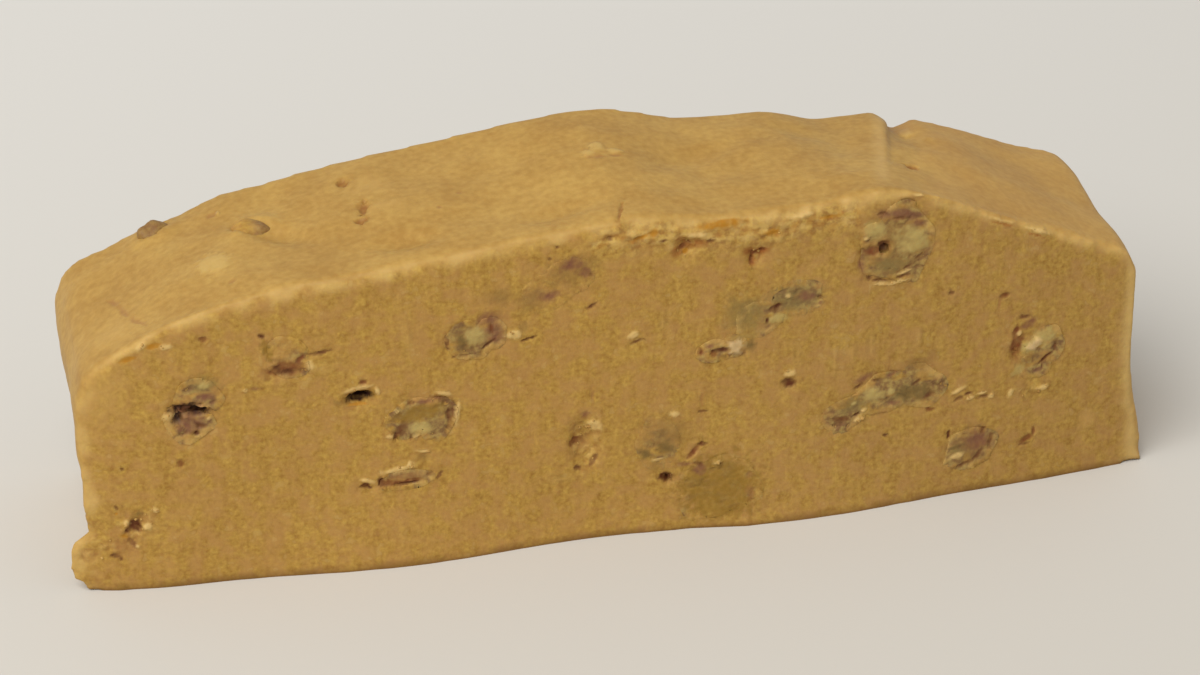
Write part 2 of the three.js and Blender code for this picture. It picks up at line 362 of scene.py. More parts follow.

# %% [markdown]
# What the knife met is written down as marks, each an oval on the front cut: kind, place along the slice,
# height, half width, half height and turn. They are listed by the thing they belong to, walnuts first, so
# that one can be found and changed. The kinds are what a maker would name: the haze of a walnut under a
# smear of fudge, its pale or olive flesh, its mauve, brown or red-brown skin, dark holes, and pale torn
# crumb. Some of them are painted light. The dark brown of the dark and deep holes is painted shade, over
# red-brown walnut skin where a hole or crevice is in a walnut. The pale kind is pale crumb and also painted
# highlight on the lips of holes and the rims of walnuts. Rose is painted highlight on ridges inside a dark
# cavity.

# %% Marks on the walnuts of the front cut
FRONT_MARKS = {
    "walnut_front_01": [
        ("sage", -56.7, 30.3, 2.0, 1.3, 0), ("flesh", -56.8, 30.1, 0.7, 0.5, 10),
        ("mauve", -56.6, 28.5, 1.7, 0.7, 5), ("deep", -59.4, 26.9, 2.2, 0.8, 0),
        ("deep", -60.4, 25.7, 0.7, 0.9, 0), ("deep", -57.8, 26.5, 1.8, 0.7, -8),
        # The rose marks are painted highlight on ridges inside the dark cavity.
        ("mauve", -58.8, 26.6, 3.2, 1.9, 0), ("rose", -59.2, 26.6, 1.0, 0.3, 0),
        ("rose", -57.5, 26.9, 0.7, 0.3, 15), ("pale", -61.6, 26.0, 1.0, 0.6, 10),
        ("mauve", -58.6, 24.6, 2.4, 1.6, 0), ("skin", -57.4, 24.2, 0.9, 0.5, 0),
        ("dark", -58.0, 23.2, 0.6, 0.4, 0), ("pale", -56.4, 25.3, 0.3, 0.3, 0),
    ],
    "walnut_front_02": [
        ("film", -46.6, 33.9, 2.2, 1.6, 0), ("gold", -48.3, 34.5, 0.5, 2.1, 15),
        ("dark", -48.9, 36.4, 0.6, 0.4, -30), ("red", -45.8, 31.3, 2.6, 1.3, -5),
        ("dark", -47.1, 31.5, 0.8, 0.5, -20), ("dark", -45.8, 30.8, 1.3, 0.5, 5),
        ("red", -44.0, 32.6, 1.0, 0.4, 35), ("skin", -41.2, 33.2, 1.6, 0.3, 8),
        ("pale", -42.8, 31.6, 0.6, 0.8, 15), ("smear", -46.3, 29.4, 0.8, 0.7, 0),
        ("smear", -44.3, 26.6, 0.8, 0.5, 0), ("film", -43.6, 34.6, 1.2, 1.2, 0),
    ],
    "walnut_front_03": [
        ("gold", -28.4, 22.7, 3.3, 1.2, 8), ("flesh", -28.3, 20.5, 2.1, 0.9, 0),
        ("skin", -24.3, 22.1, 0.6, 2.4, -8), ("skin", -25.4, 24.4, 1.3, 0.45, -18),
        ("skin", -29.5, 24.3, 0.6, 0.4, 10), ("mauve", -27.8, 24.3, 1.6, 0.4, -3),
        ("dark", -31.8, 19.5, 0.3, 0.5, 0), ("skin", -30.9, 20.4, 1.0, 1.0, 0),
        ("dark", -29.7, 19.2, 0.3, 0.4, 0), ("pale", -32.5, 19.6, 0.6, 0.3, 0),
        ("pale", -31.6, 23.3, 0.6, 0.3, 35), ("pale", -23.3, 22.0, 0.3, 2.1, -8),
        ("pale", -25.2, 25.2, 1.2, 0.35, -18), ("pale", -29.1, 19.3, 0.4, 0.4, 0),
    ],
    "walnut_front_04": [
        ("fleck", -30.6, 13.3, 3.2, 0.8, 4), ("red", -30.9, 12.5, 3.3, 0.4, 4),
        ("red", -33.2, 12.7, 1.0, 0.6, 0), ("dark", -33.9, 12.9, 0.5, 0.7, 10),
        ("dark", -30.4, 12.3, 2.2, 0.2, 4), ("skin", -27.4, 13.3, 0.6, 0.4, -10),
        ("pale", -31.7, 14.5, 2.2, 0.4, 8), ("skin", -26.0, 13.0, 0.7, 0.25, 45),
        ("haze", -28.3, 15.9, 1.2, 0.9, 0), ("pale", -28.1, 16.9, 1.1, 0.2, -6),
        ("pale", -30.1, 15.1, 0.3, 0.6, -30),
    ],
    "walnut_front_05": [
        ("haze", -21.4, 33.0, 2.8, 2.5, 0), ("flesh", -20.8, 33.3, 1.7, 1.4, 0),
        ("olive", -22.6, 32.6, 1.0, 1.2, 0), ("skin", -24.5, 32.7, 0.3, 1.3, 5),
        ("dark", -19.1, 31.8, 1.1, 0.25, 35), ("skin", -22.1, 30.6, 1.8, 0.2, 5),
        ("red", -18.5, 34.1, 0.3, 1.3, 12), ("mauve", -18.0, 33.7, 1.6, 2.2, 15),
        ("mauve", -18.8, 35.6, 2.2, 1.1, 0), ("pale", -15.5, 32.9, 1.1, 0.7, 0),
        ("haze", -14.4, 33.6, 0.4, 1.0, 0), ("dark", -13.4, 32.0, 1.2, 0.2, 12),
    ],
    "walnut_front_06": [
        ("haze", -7.6, 41.3, 4.4, 2.6, 12), ("mauve", -7.6, 42.3, 2.0, 1.2, 8),
        ("mauve", -5.8, 41.0, 1.2, 0.9, 0), ("skin", -10.5, 43.4, 0.3, 0.3, 0),
        ("skin", -5.0, 40.5, 0.3, 0.4, 0), ("mauve", -10.6, 38.0, 1.6, 0.9, 15),
        ("film", -11.8, 37.2, 2.4, 1.6, 20), ("film", -7.0, 40.6, 5.0, 3.6, 20),
    ],
    "walnut_front_07": [
        ("haze", 5.6, 15.2, 3.8, 3.0, -5), ("olive", 5.4, 12.9, 1.2, 1.3, 0),
        ("olive", 2.6, 12.3, 0.9, 1.1, 0), ("haze", 3.9, 10.3, 1.5, 0.9, 0),
        ("pale", 4.1, 11.3, 1.2, 0.2, 4), ("dark", 5.4, 8.4, 1.0, 0.9, 0), ("film", 5.4, 17.6, 4.0, 1.8, 0),
        ("film", 7.6, 14.6, 1.4, 2.4, 0),
    ],
    "walnut_front_08": [
        ("dark", 12.9, 27.2, 1.2, 0.4, 3), ("red", 11.9, 26.7, 0.6, 0.5, 20),
        ("red", 10.0, 27.4, 0.4, 0.7, 15), ("mauve", 11.3, 28.0, 1.0, 0.5, 0),
        ("chip", 14.9, 27.6, 1.0, 1.0, 0), ("olive", 17.0, 27.4, 0.8, 0.9, 0),
        ("skin", 14.6, 26.4, 1.6, 0.2, 0),
    ],
    "walnut_front_09": [
        ("gold", 12.7, 6.0, 5.5, 5.0, 0), ("fleck", 17.2, 4.8, 0.7, 1.5, 10),
        ("fleck", 17.0, 7.6, 0.5, 0.6, -30), ("red", 9.3, 12.0, 1.5, 0.4, 50),
        ("skin", 10.5, 13.0, 0.8, 0.3, 0), ("mauve", 10.2, 9.2, 1.0, 1.0, 0),
        ("skin", 9.9, 10.0, 1.0, 0.3, -20), ("pale", 12.5, 9.9, 0.6, 0.25, 10),
        ("mauve", 7.8, 10.1, 1.8, 0.3, 3), ("torn", 12.4, 9.4, 1.6, 1.0, 0),
    ],
    "walnut_front_10": [
        ("sage", 22.8, 33.8, 4.4, 2.1, 5), ("mauve", 24.6, 34.1, 1.6, 0.9, 0),
        ("pale", 22.1, 34.4, 0.4, 0.4, 0), ("mauve", 26.6, 32.8, 0.5, 0.4, 20),
        ("skin", 26.6, 33.7, 0.4, 0.3, 0), ("skin", 20.2, 32.7, 1.2, 0.7, 25),
        ("dark", 20.7, 33.0, 0.6, 0.4, 30), ("dark", 19.2, 31.0, 0.2, 0.6, 0),
        ("sage", 16.2, 32.2, 3.2, 3.2, 0), ("flesh", 20.8, 31.1, 1.6, 0.7, 5),
        ("film", 16.6, 31.0, 2.8, 2.8, 20), ("film", 21.8, 31.6, 1.6, 1.0, 20),
    ],
    "walnut_front_11": [
        ("haze", 36.6, 40.1, 5.3, 6.0, 0), ("mauve", 37.2, 44.8, 4.0, 0.9, -6),
        ("mauve", 40.2, 43.1, 1.2, 0.7, -10), ("skin", 37.5, 44.2, 1.3, 0.2, -8),
        ("skin", 34.8, 45.2, 1.0, 0.2, 3), ("flesh", 33.9, 42.9, 1.9, 1.3, 0),
        ("pale", 32.7, 41.7, 0.5, 0.3, 0), ("flesh", 39.2, 40.7, 2.3, 2.2, 0),
        ("red", 35.2, 40.1, 1.0, 0.9, 30), ("dark", 35.3, 40.5, 0.9, 0.5, -30),
        ("red", 33.6, 39.8, 1.8, 0.7, 5), ("sage", 36.4, 37.4, 3.2, 1.2, 0),
        ("mauve", 32.2, 37.6, 0.6, 2.0, 12), ("skin", 38.7, 36.8, 1.2, 0.22, 24),
        ("pale", 38.3, 36.1, 1.3, 0.22, 20), ("skin", 34.9, 35.2, 1.3, 0.22, -8),
        ("skin", 37.6, 35.4, 1.5, 0.22, 12), ("pale", 35.1, 34.6, 1.2, 0.22, -8),
        ("pale", 37.7, 34.7, 1.5, 0.22, 12), ("skin", 33.4, 35.7, 0.5, 0.4, -30),
        ("skin", 40.3, 38.2, 1.2, 0.22, 30),
    ],
    "walnut_front_12": [
        ("sage", 31.7, 16.4, 2.2, 1.5, 15), ("flesh", 31.9, 16.7, 0.5, 0.3, 20),
        ("pale", 33.2, 15.5, 0.5, 0.3, 30), ("dark", 32.1, 14.9, 1.0, 0.25, 20),
        ("skin", 30.0, 14.5, 1.7, 0.5, -4), ("pale", 32.6, 14.2, 1.0, 0.3, 8),
        ("skin", 32.3, 19.2, 0.8, 0.3, 25), ("mauve", 33.3, 20.5, 1.9, 0.5, 22),
        ("mauve", 37.1, 20.6, 1.1, 0.4, 18), ("skin", 34.8, 19.9, 0.7, 0.3, 0),
        ("flesh", 34.5, 17.8, 1.6, 1.1, 0), ("flesh", 37.2, 17.8, 0.7, 0.7, 0),
        ("sage", 39.0, 17.2, 2.6, 1.8, 10), ("olive", 39.4, 17.2, 1.6, 1.2, 10),
        ("skin", 40.8, 18.7, 0.9, 0.3, 35), ("torn", 35.7, 16.2, 0.8, 0.8, 0),
        ("haze", 42.2, 16.7, 1.9, 1.5, 0), ("olive", 41.2, 17.2, 2.0, 1.4, 0),
        ("skin", 42.6, 16.4, 0.9, 0.4, 20), ("torn", 42.3, 16.1, 1.6, 1.1, 0),
        ("red", 43.0, 14.2, 0.8, 0.3, -15), ("mauve", 37.6, 16.0, 1.0, 0.5, 0),
        ("film", 36.2, 14.6, 2.6, 1.0, 15), ("film", 30.4, 17.6, 1.4, 0.9, 30),
        ("film", 41.6, 19.8, 1.2, 1.0, 0),
    ],
    "walnut_front_13": [
        ("haze", 49.0, 7.4, 3.7, 3.3, 10), ("mauve", 50.2, 8.3, 2.4, 2.0, 10),
        ("dark", 45.9, 9.7, 0.3, 0.8, -5), ("skin", 48.1, 4.6, 1.6, 0.4, 20),
        ("skin", 50.4, 5.8, 1.6, 0.35, 45), ("skin", 52.3, 8.1, 0.4, 1.3, -15),
        ("skin", 50.9, 9.6, 0.5, 0.6, 0), ("sage", 47.6, 7.2, 1.7, 1.0, 10),
        ("pale", 47.3, 6.2, 1.1, 0.5, 15), ("olive", 46.8, 7.5, 1.5, 0.3, 10),
    ],
    "walnut_front_14": [
        ("flesh", 59.2, 22.9, 2.0, 1.4, 20), ("chip", 58.0, 22.0, 1.2, 0.7, 20),
        ("flesh", 57.0, 21.8, 1.5, 1.1, 0), ("haze", 57.4, 19.8, 1.8, 1.1, 25),
        ("flesh", 55.9, 18.4, 1.0, 0.9, 30), ("pale", 58.6, 22.8, 1.0, 0.3, -30),
        ("red", 55.4, 22.3, 1.0, 2.3, -5), ("red", 55.2, 24.6, 0.5, 0.9, -20),
        ("pale", 55.7, 24.1, 0.3, 0.5, -20), ("mauve", 57.1, 25.4, 1.6, 0.7, 25),
        ("skin", 56.3, 26.6, 0.9, 0.3, 0), ("dark", 59.8, 19.6, 1.6, 0.3, 40),
        ("skin", 61.2, 21.5, 0.3, 0.8, 0), ("mauve", 58.8, 17.9, 1.0, 0.5, 10),
    ],
}
print("marks on walnuts:", sum(len(marks) for marks in FRONT_MARKS.values()))

# %% [markdown]
# The fudge between the walnuts has its own marks: air holes left by the beating, a tall torn crater where a
# walnut was pulled out, cracks, specks of walnut skin, pale smears, and the crumbly stretches at the left
# foot and under the upper edge.

# %% Marks on the fudge of the front cut
# Painted shade: the dark and deep holes are painted dark brown where only shade darkens the fudge.
FRONT_MARKS["air holes"] = [
    # The pale marks over the holes are painted highlight on their lips.
    ("deep", -36.2, 25.9, 2.0, 0.75, 3), ("pale", -36.7, 27.2, 2.3, 0.4, 10),
    ("pale", -34.0, 26.6, 0.4, 0.7, 20), ("orange", -36.6, 24.8, 1.6, 0.25, 0),
    ("red", -35.8, 28.1, 0.6, 0.4, 0), ("haze", -38.9, 25.3, 0.6, 0.4, 0),
    ("dark", -36.1, 12.5, 0.7, 0.5, 0), ("skin", -35.4, 12.1, 0.3, 0.2, 0),
    ("pale", -35.8, 13.3, 1.0, 0.4, -15), ("dark", 22.5, 21.1, 1.0, 0.7, -5),
    ("pale", 22.6, 22.6, 0.9, 0.5, 0),
]
FRONT_MARKS["crater"] = [
    ("torn", -5.7, 14.6, 2.5, 5.0, 0), ("pale", -4.5, 17.7, 1.0, 1.0, -20),
    ("red", -7.2, 15.2, 1.0, 0.7, 20), ("mauve", -5.8, 19.6, 0.8, 0.4, 0),
    ("skin", -6.9, 11.2, 0.7, 0.4, -20), ("skin", -4.6, 12.2, 0.4, 1.2, -25),
]
FRONT_MARKS["cracks"] = [
    ("skin", 47.2, 15.2, 0.9, 0.3, 22), ("skin", 48.5, 15.8, 0.7, 0.25, 8),
    ("skin", 50.8, 15.0, 0.9, 0.25, 5), ("pale", 47.0, 16.5, 1.3, 0.35, 25),
    ("pale", 48.9, 15.1, 0.6, 0.3, 10), ("pale", 50.6, 15.6, 0.8, 0.25, 5),
    ("pale", 52.0, 15.0, 0.4, 0.4, 0), ("torn", 58.1, 14.8, 4.0, 0.9, 0), ("pale", 59.7, 14.9, 0.9, 0.5, 0),
    ("pale", 54.9, 15.0, 0.4, 0.5, 0),
]
FRONT_MARKS["left foot"] = [
    ("dark", -66.8, 9.9, 0.9, 1.1, 0), ("dark", -67.8, 9.2, 0.7, 0.4, 25),
    ("pale", -65.3, 9.7, 0.6, 0.5, 0), ("pale", -64.0, 12.0, 0.5, 0.4, -20),
    ("olive", -66.2, 11.6, 0.8, 0.4, 0), ("pale", -68.0, 10.4, 0.5, 0.5, 0),
    ("skin", -67.4, 7.3, 0.4, 1.2, 30), ("skin", -69.8, 5.4, 0.9, 0.4, -15),
    ("orange", -68.4, 8.3, 0.6, 0.4, -20), ("pale", -66.7, 6.7, 0.3, 0.3, 0),
    ("skin", -69.1, 12.7, 0.3, 0.5, 15), ("orange", -69.2, 11.8, 0.3, 0.3, 0),
    ("skin", -69.0, 4.9, 0.3, 0.4, 0), ("fleck", -68.7, 7.0, 2.0, 1.9, 0),
    ("torn", -66.5, 10.3, 3.2, 2.9, 0), ("torn", -70.8, 7.1, 2.8, 1.5, -10),
    ("torn", -73.6, 5.6, 2.0, 2.0, 0),
]
FRONT_MARKS["upper edge"] = [
    ("ledge", -0.6, 45.3, 5.8, 1.5, 5), ("ledge", 10.1, 44.4, 9.0, 1.5, 4),
    ("ledge", 20.6, 44.2, 5.6, 1.5, 8), ("orange", 3.4, 45.8, 0.8, 0.6, 40),
    ("orange", 12.6, 46.0, 3.7, 0.75, 2), ("orange", 19.6, 44.1, 1.3, 0.5, 10),
    ("orange", 27.6, 45.5, 1.7, 0.4, 4), ("orange", 1.8, 45.3, 1.6, 0.3, 20),
    ("skin", -2.5, 45.6, 0.4, 0.3, 0), ("rust", 6.8, 42.5, 1.3, 0.9, 20), ("rust", 8.9, 43.3, 1.6, 0.9, 0),
    ("rust", 7.4, 44.2, 0.8, 0.7, 0), ("red", 7.4, 43.0, 0.6, 0.4, 25), ("red", 8.6, 43.6, 0.5, 0.3, 0),
    ("orange", 7.9, 42.3, 0.5, 0.4, 0), ("rust", 16.5, 41.5, 1.1, 0.8, 0),
    ("rust", 18.3, 41.3, 1.2, 0.8, 10), ("rust", 17.0, 40.2, 0.7, 1.0, -15),
    ("red", 17.3, 41.1, 0.6, 0.4, -10), ("red", 16.9, 40.1, 0.3, 0.6, -15),
    ("red", 18.4, 41.6, 0.4, 0.3, 0), ("torn", 7.7, 43.1, 2.6, 1.8, 0), ("torn", 17.5, 40.9, 2.2, 1.8, 0),
    ("torn", 0.8, 44.2, 3.2, 1.6, 8), ("torn", 20.6, 43.2, 3.0, 1.6, 0), ("skin", 4.7, 44.5, 0.6, 0.25, 0),
    ("skin", 11.4, 43.8, 0.7, 0.25, 5), ("pale", 9.5, 44.8, 1.6, 0.4, 5), ("pale", 23.7, 46.2, 2.2, 0.5, 8),
    ("pale", 40.7, 47.3, 1.7, 0.4, -5), ("red", 27.5, 45.3, 0.4, 0.4, 0),
    ("orange", -63.0, 36.6, 1.0, 0.5, 10), ("orange", -66.3, 34.9, 1.3, 0.4, 15),
    ("pale", -64.6, 36.6, 0.9, 0.4, 30), ("pale", -61.3, 36.3, 1.0, 0.4, 0),
    ("smear", -67.0, 36.4, 2.2, 0.7, 35), ("smear", -70.5, 30.5, 4.5, 7.0, 0),
    ("pale", 52.0, 42.0, 2.4, 0.35, -22), ("rust", 52.4, 41.2, 2.0, 0.25, -22),
    ("pale", 57.6, 39.5, 2.4, 0.35, -22), ("rust", 57.4, 38.8, 1.8, 0.25, -22),
]
FRONT_MARKS["specks"] = [
    ("red", 57.7, 7.1, 1.3, 0.5, 25), ("red", 58.8, 8.2, 0.3, 0.6, 0), ("skin", 57.6, 6.3, 1.0, 0.2, 5),
    ("red", 53.2, 30.4, 0.7, 0.4, 0), ("red", -60.4, 18.8, 0.5, 0.5, 10), ("red", -56.5, 36.9, 0.6, 0.4, 0),
    ("orange", -62.6, 36.5, 0.7, 0.3, 0), ("pale", 0.8, 30.9, 0.9, 0.6, 35),
    ("skin", 1.1, 29.8, 0.9, 0.25, 20), ("pale", 6.6, 18.1, 0.6, 0.6, 0), ("skin", 10.5, 18.1, 0.8, 0.2, 0),
    ("skin", 36.6, 11.1, 0.4, 0.2, 0), ("skin", -4.9, 35.9, 0.7, 0.3, 30),
    ("skin", -9.5, 45.0, 0.3, 0.3, 0), ("skin", 45.3, 31.9, 0.5, 0.3, 0),
    ("skin", -68.0, 18.6, 0.3, 0.2, 0), ("mauve", -50.1, 28.9, 0.9, 0.4, 5),
    ("pale", -51.4, 28.8, 0.3, 0.3, 0),
]
FRONT_MARKS["knife smears"] = [
    ("smear", 4.8, 32.3, 0.4, 1.7, 0), ("smear", -3.2, 26.6, 1.0, 0.6, 10),
    ("smear", 28.8, 23.6, 0.5, 2.6, -6), ("smear", 23.9, 25.9, 0.5, 2.2, -5),
    ("fleck", -4.9, 22.6, 0.3, 2.4, 4), ("fleck", 10.3, 19.7, 0.3, 1.6, 0),
    ("haze", -13.2, 37.7, 2.6, 2.0, 20), ("haze", -17.2, 38.6, 2.2, 1.4, 0),
    ("fleck", 52.4, 29.2, 0.3, 1.4, 0), ("smear", 40.6, 25.4, 0.7, 2.4, -8),
    ("smear", 31.0, 24.6, 0.8, 2.0, 10), ("smear", 34.1, 25.6, 0.5, 2.2, 0),
    ("smear", 67.0, 8.4, 1.6, 1.6, 0), ("smear", -9.4, 9.8, 2.0, 0.6, 10),
    ("haze", 41.0, 21.8, 3.0, 1.2, 12), ("smear", -30.0, 34.6, 0.7, 2.6, 5),
    ("smear", -41.0, 30.8, 1.8, 1.0, 0),
]
print("marks on the front cut:", sum(len(marks) for marks in FRONT_MARKS.values()))

# %% [markdown]
# The back cut isn't in view, so it is finished like the front one. Every walnut there borrows the marks of
# a front walnut, mirrored and fitted to its own size, and seeded specks lie between the walnuts.

# %% Marks on the back cut
BORROWED_FROM_FRONT = [3, 1, 4, 5, 12, 10, 8, 14, 13]
BACK_SPECKS = 24
SPECK_KINDS = ("red", "pale", "skin", "dark", "torn", "haze")
WIDE_KINDS = ("torn", "haze")
SPECK_SIZE = (0.4, 0.9)
WIDER = 2.2
SPECK_SHAPE = (1.4, 0.7)
SPECKS_ALONG = (-66, 66)
SPECKS_UP = (6, 34)
SPECK_TURN = (-60, 60)


def middle_and_half(node_name):
    low, high = box_of(node_name)
    return (low + high) / 2, (high - low) / 2


def borrowed_marks(back_name, front_name):
    (across, _, up), (wide, _, high) = middle_and_half(back_name)
    (front_across, _, front_up), (front_wide, _, front_high) = middle_and_half(front_name)
    stretch, rise = wide / front_wide, high / front_high
    return [
        (kind, across - (x - front_across) * stretch, up + (z - front_up) * rise,
         half_wide * stretch, half_high * rise, -turn)
        for kind, x, z, half_wide, half_high, turn in FRONT_MARKS[front_name]
    ]


draw = np.random.default_rng(11)
back_marks = []
for back_number, front_number in enumerate(BORROWED_FROM_FRONT, 1):
    back_marks += borrowed_marks(f"walnut_back_{back_number:02d}", f"walnut_front_{front_number:02d}")
for number in range(BACK_SPECKS):
    kind = SPECK_KINDS[number % len(SPECK_KINDS)]
    size = draw.uniform(*SPECK_SIZE) * (WIDER if kind in WIDE_KINDS else 1)
    place = (draw.uniform(*SPECKS_ALONG), draw.uniform(*SPECKS_UP))
    half_wide, half_high = (size * side for side in SPECK_SHAPE)
    back_marks.append((kind, *place, half_wide, half_high, draw.uniform(*SPECK_TURN)))
cut_marks = {"front": sum(FRONT_MARKS.values(), []), "back": back_marks}
print("marks on the back cut:", len(back_marks))

# %% [markdown]
# The top has fewer marks, because hands pressed most things flat: a small hole, a brown pit in two parts
# and one beside the fold, a flattened pale disc, raised pale crumbs, a crease at the left end, some specks,
# and a short crack above the front edge. They are ovals too, by place along the slice and place from front
# to back.

# %% Marks on the top
TOP_MARKS = [
    ("cream", -53.2, -3.6, 2.3, 3.0, 10), ("hole", -33.8, 10.2, 0.9, 1.0, 0),
    ("hole", -32.3, 1.6, 0.7, 1.6, -10), ("hole", -33.2, -1.6, 0.9, 0.8, 20),
    ("cream", 0.4, 4.6, 1.0, 1.1, 0), ("cream", -1.2, 3.0, 0.9, 0.8, 30),
    ("cream", 2.6, 3.4, 1.1, 0.6, -15), ("fleck", -0.2, 2.0, 1.5, 0.5, 0), ("fleck", 2.6, 2.2, 0.9, 0.5, 0),
    ("fleck", -66.6, -0.2, 0.45, 2.0, 19), ("fleck", -65.6, -4.3, 0.45, 2.9, 9),
    ("fleck", -64.2, -9.5, 0.45, 2.9, 21), ("smear", -67.5, -9.0, 3.0, 4.5, 20),
    ("hole", 42.6, -4.1, 0.8, 1.2, 20), ("cream", 47.1, 13.0, 0.9, 1.6, 10),
    ("skin", 42.5, -3.8, 0.5, 1.1, 30), ("fleck", -51.7, 11.6, 0.9, 0.8, 0),
    ("cream", -50.9, 11.4, 0.3, 0.5, 0), ("crack", -0.4, -13.2, 0.25, 2.8, -19),
    ("fleck", -51.6, -10.2, 0.5, 0.5, 0), ("fleck", -19.5, 0.5, 0.5, 0.4, 0),
    ("fleck", -22.7, -2.8, 0.4, 0.5, 0), ("smear", -30.5, 8.0, 3.0, 3.0, 0),
    ("smear", -30.0, 0.5, 3.5, 1.6, 0),
]
print("marks on the top:", len(TOP_MARKS))

# %% [markdown]
# Small holes and crumbs need a finer net than a plain stretch of fudge. The faces near a mark, near a
# walnut and along the upper edges of the cuts are selected by place and subdivided once, and those of the
# finest marks once more.

# %% A finer net where there is something to see
NEAR_MARK = 0.7
NEAR_FINE_MARK = 0.25
NEAR_WALNUT = 1.2
EDGE_STRIP = 1.6
CUT_MARK_DEPTH = 3.0
TOP_MARK_DEPTH = 4.0
SHOWS_IN_CUT = 1.2
SHOWS_IN_TOP = 1.5
FOLD_STRIP = 1.2
FOLD_FRONT = -8.0
TOP_DEPTH = 3.0
LIP_CORNER = (-70, 0, 14)
FOLD_BACK_X = 45.7
FOLD_LEAN = 0.285
FOLD_BACK_Y = 17.9
FINE_KINDS = ("dark", "deep", "skin", "red", "pale", "chip", "rose", "orange", "hole", "crack", "fleck")
FLAT_KINDS = ("haze", "sage", "gold", "smear", "film")


def oval(x, up, shape):
    """0 at the middle of a mark, 1 on its outline and more outside."""
    middle_x, middle_up, half_wide, half_high, turn = shape
    turn = math.radians(turn)
    along = (x - middle_x) * math.cos(turn) + (up - middle_up) * math.sin(turn)
    rise = (up - middle_up) * math.cos(turn) - (x - middle_x) * math.sin(turn)
    return np.hypot(along / half_wide, rise / half_high)


def past_fold(places):
    """How far to the right of the fold in the top a place is."""
    return places[:, 0] - (FOLD_BACK_X + FOLD_LEAN * (places[:, 1] - FOLD_BACK_Y))


def near_marks(places, marks, axis, kinds, margin):
    near = np.zeros(len(places), bool)
    for kind, x, up, half_wide, half_high, turn in marks:
        if kind in kinds:
            grown = (x, up, half_wide + margin, half_high + margin, turn)
            near |= oval(places[:, 0], places[:, axis], grown) < 1
    return near


def wants_detail(places, kinds, margin):
    wanted = near_marks(places, TOP_MARKS, 1, kinds, margin) & (below_crown(places) < TOP_MARK_DEPTH)
    for side in OUT:
        in_reach = depth_in_cut(places, side) < CUT_MARK_DEPTH
        wanted |= near_marks(places, cut_marks[side], 2, kinds, margin) & in_reach
    return wanted


def subdivide_where(piece, chosen):
    select_only(piece)
    bpy.context.tool_settings.mesh_select_mode = (False, False, True)
    bpy.ops.object.mode_set(mode="EDIT")
    bpy.ops.mesh.select_all(action="DESELECT")
    bpy.ops.object.mode_set(mode="OBJECT")
    piece.data.polygons.foreach_set("select", chosen)
    bpy.ops.object.mode_set(mode="EDIT")
    bpy.ops.mesh.subdivide(number_cuts=1)
    bpy.ops.object.mode_set(mode="OBJECT")


def face_middles(piece):
    return read_triples(piece.data.polygons, "center") / MM


def count_triangles(piece):
    piece.data.calc_loop_triangles()
    return len(piece.data.loop_triangles)


middles = face_middles(slice_body)
shaped_kinds = {mark[0] for mark in cut_marks["front"] + TOP_MARKS} - set(FLAT_KINDS)
wanted = wants_detail(middles, shaped_kinds, NEAR_MARK)
shows = (inside_cuts(middles) < SHOWS_IN_CUT) | (below_crown(middles) < SHOWS_IN_TOP)
wanted |= beside(middles, "walnut", NEAR_WALNUT) & shows
for side in OUT:
    wanted |= from_outline(middles, side).min(axis=1) < EDGE_STRIP
at_fold = (np.abs(past_fold(middles)) < FOLD_STRIP) & (middles[:, 1] > FOLD_FRONT)
wanted |= at_fold & (below_crown(middles) < TOP_DEPTH)
wanted |= (middles < LIP_CORNER).all(1)
subdivide_where(slice_body, wanted)
subdivide_where(slice_body, wants_detail(face_middles(slice_body), FINE_KINDS, NEAR_FINE_MARK))
print("fudge triangles with the finer net:", count_triangles(slice_body))

# %% [markdown]
# The net's small steps still show along the upper edges of the cuts. With the finer net there, a plain
# Smooth modifier on a narrow strip turns them into the slightly rounded edge that a knife leaves in soft
# fudge.

# %% Rounded upper edges
EDGE_ROUNDED = (0.8, 1.6)
EDGE_TURNS = 12
places = places_of(slice_body)
from_edge = np.minimum(*(from_outline(places, side).min(axis=1) for side in OUT))
weights = 1 - soft_step(*EDGE_ROUNDED, from_edge)
edges = weight_group(slice_body, "cut_edges", weights)
apply_modifier(slice_body, "SMOOTH", factor=SMOOTH_PULL, iterations=EDGE_TURNS, vertex_group=edges)
slice_body.vertex_groups.clear()
print("rounded vertices:", int((weights > 0.5).sum()))

# %% [markdown]
# At the left foot the soft fudge was squeezed out into a lip, with a sharp notch above it. The smoothing
# has blurred both, so the end is drawn back to its line there, by height. The lip is only a few millimetres
# deep: behind it the end goes straight down to the table.

# %% Lip and notch at the left foot
LIP_LINE = [
    (0.0, -73.8), (0.5, -74.0), (1.1, -74.4), (1.8, -75.5), (3.0, -75.9), (4.3, -75.7), (6.2, -75.7),
    (7.4, -75.1), (8.0, -74.0), (8.6, -73.0), (12, -73.4), (16, -73.3), (20, -73.7),
]
WALL_LINE = [(0, -70.5), (4, -71.2), (8, -71.8), (12, -72.6), (16, -73.3), (20, -74.5)]
LIP_STRIP = 0.5
LIP_DEPTH = (-14.2, -11.2)
LIP_BACK = -9.0
LIP_REACH = 6.0
LIP_TOP = (16, 20)
places = places_of(slice_body)
before = places.copy()
height = places[:, 2]
at_lip = (places[:, 0] < -END) & (places[:, 1] < LIP_BACK)
left_end = measure_line(places, at_lip, 2, 0, np.min, LIP_STRIP)(height)
lip_end = np.interp(height, *zip(*LIP_LINE))
in_lip = 1 - soft_step(*LIP_DEPTH, places[:, 1])
near_end = (1 - soft_step(0, LIP_REACH, places[:, 0] - left_end)) * (1 - soft_step(*LIP_TOP, height))
places[:, 0] += in_lip * near_end * (lip_end - left_end)
wall_end = in_lip * lip_end + (1 - in_lip) * np.interp(height, *zip(*WALL_LINE))
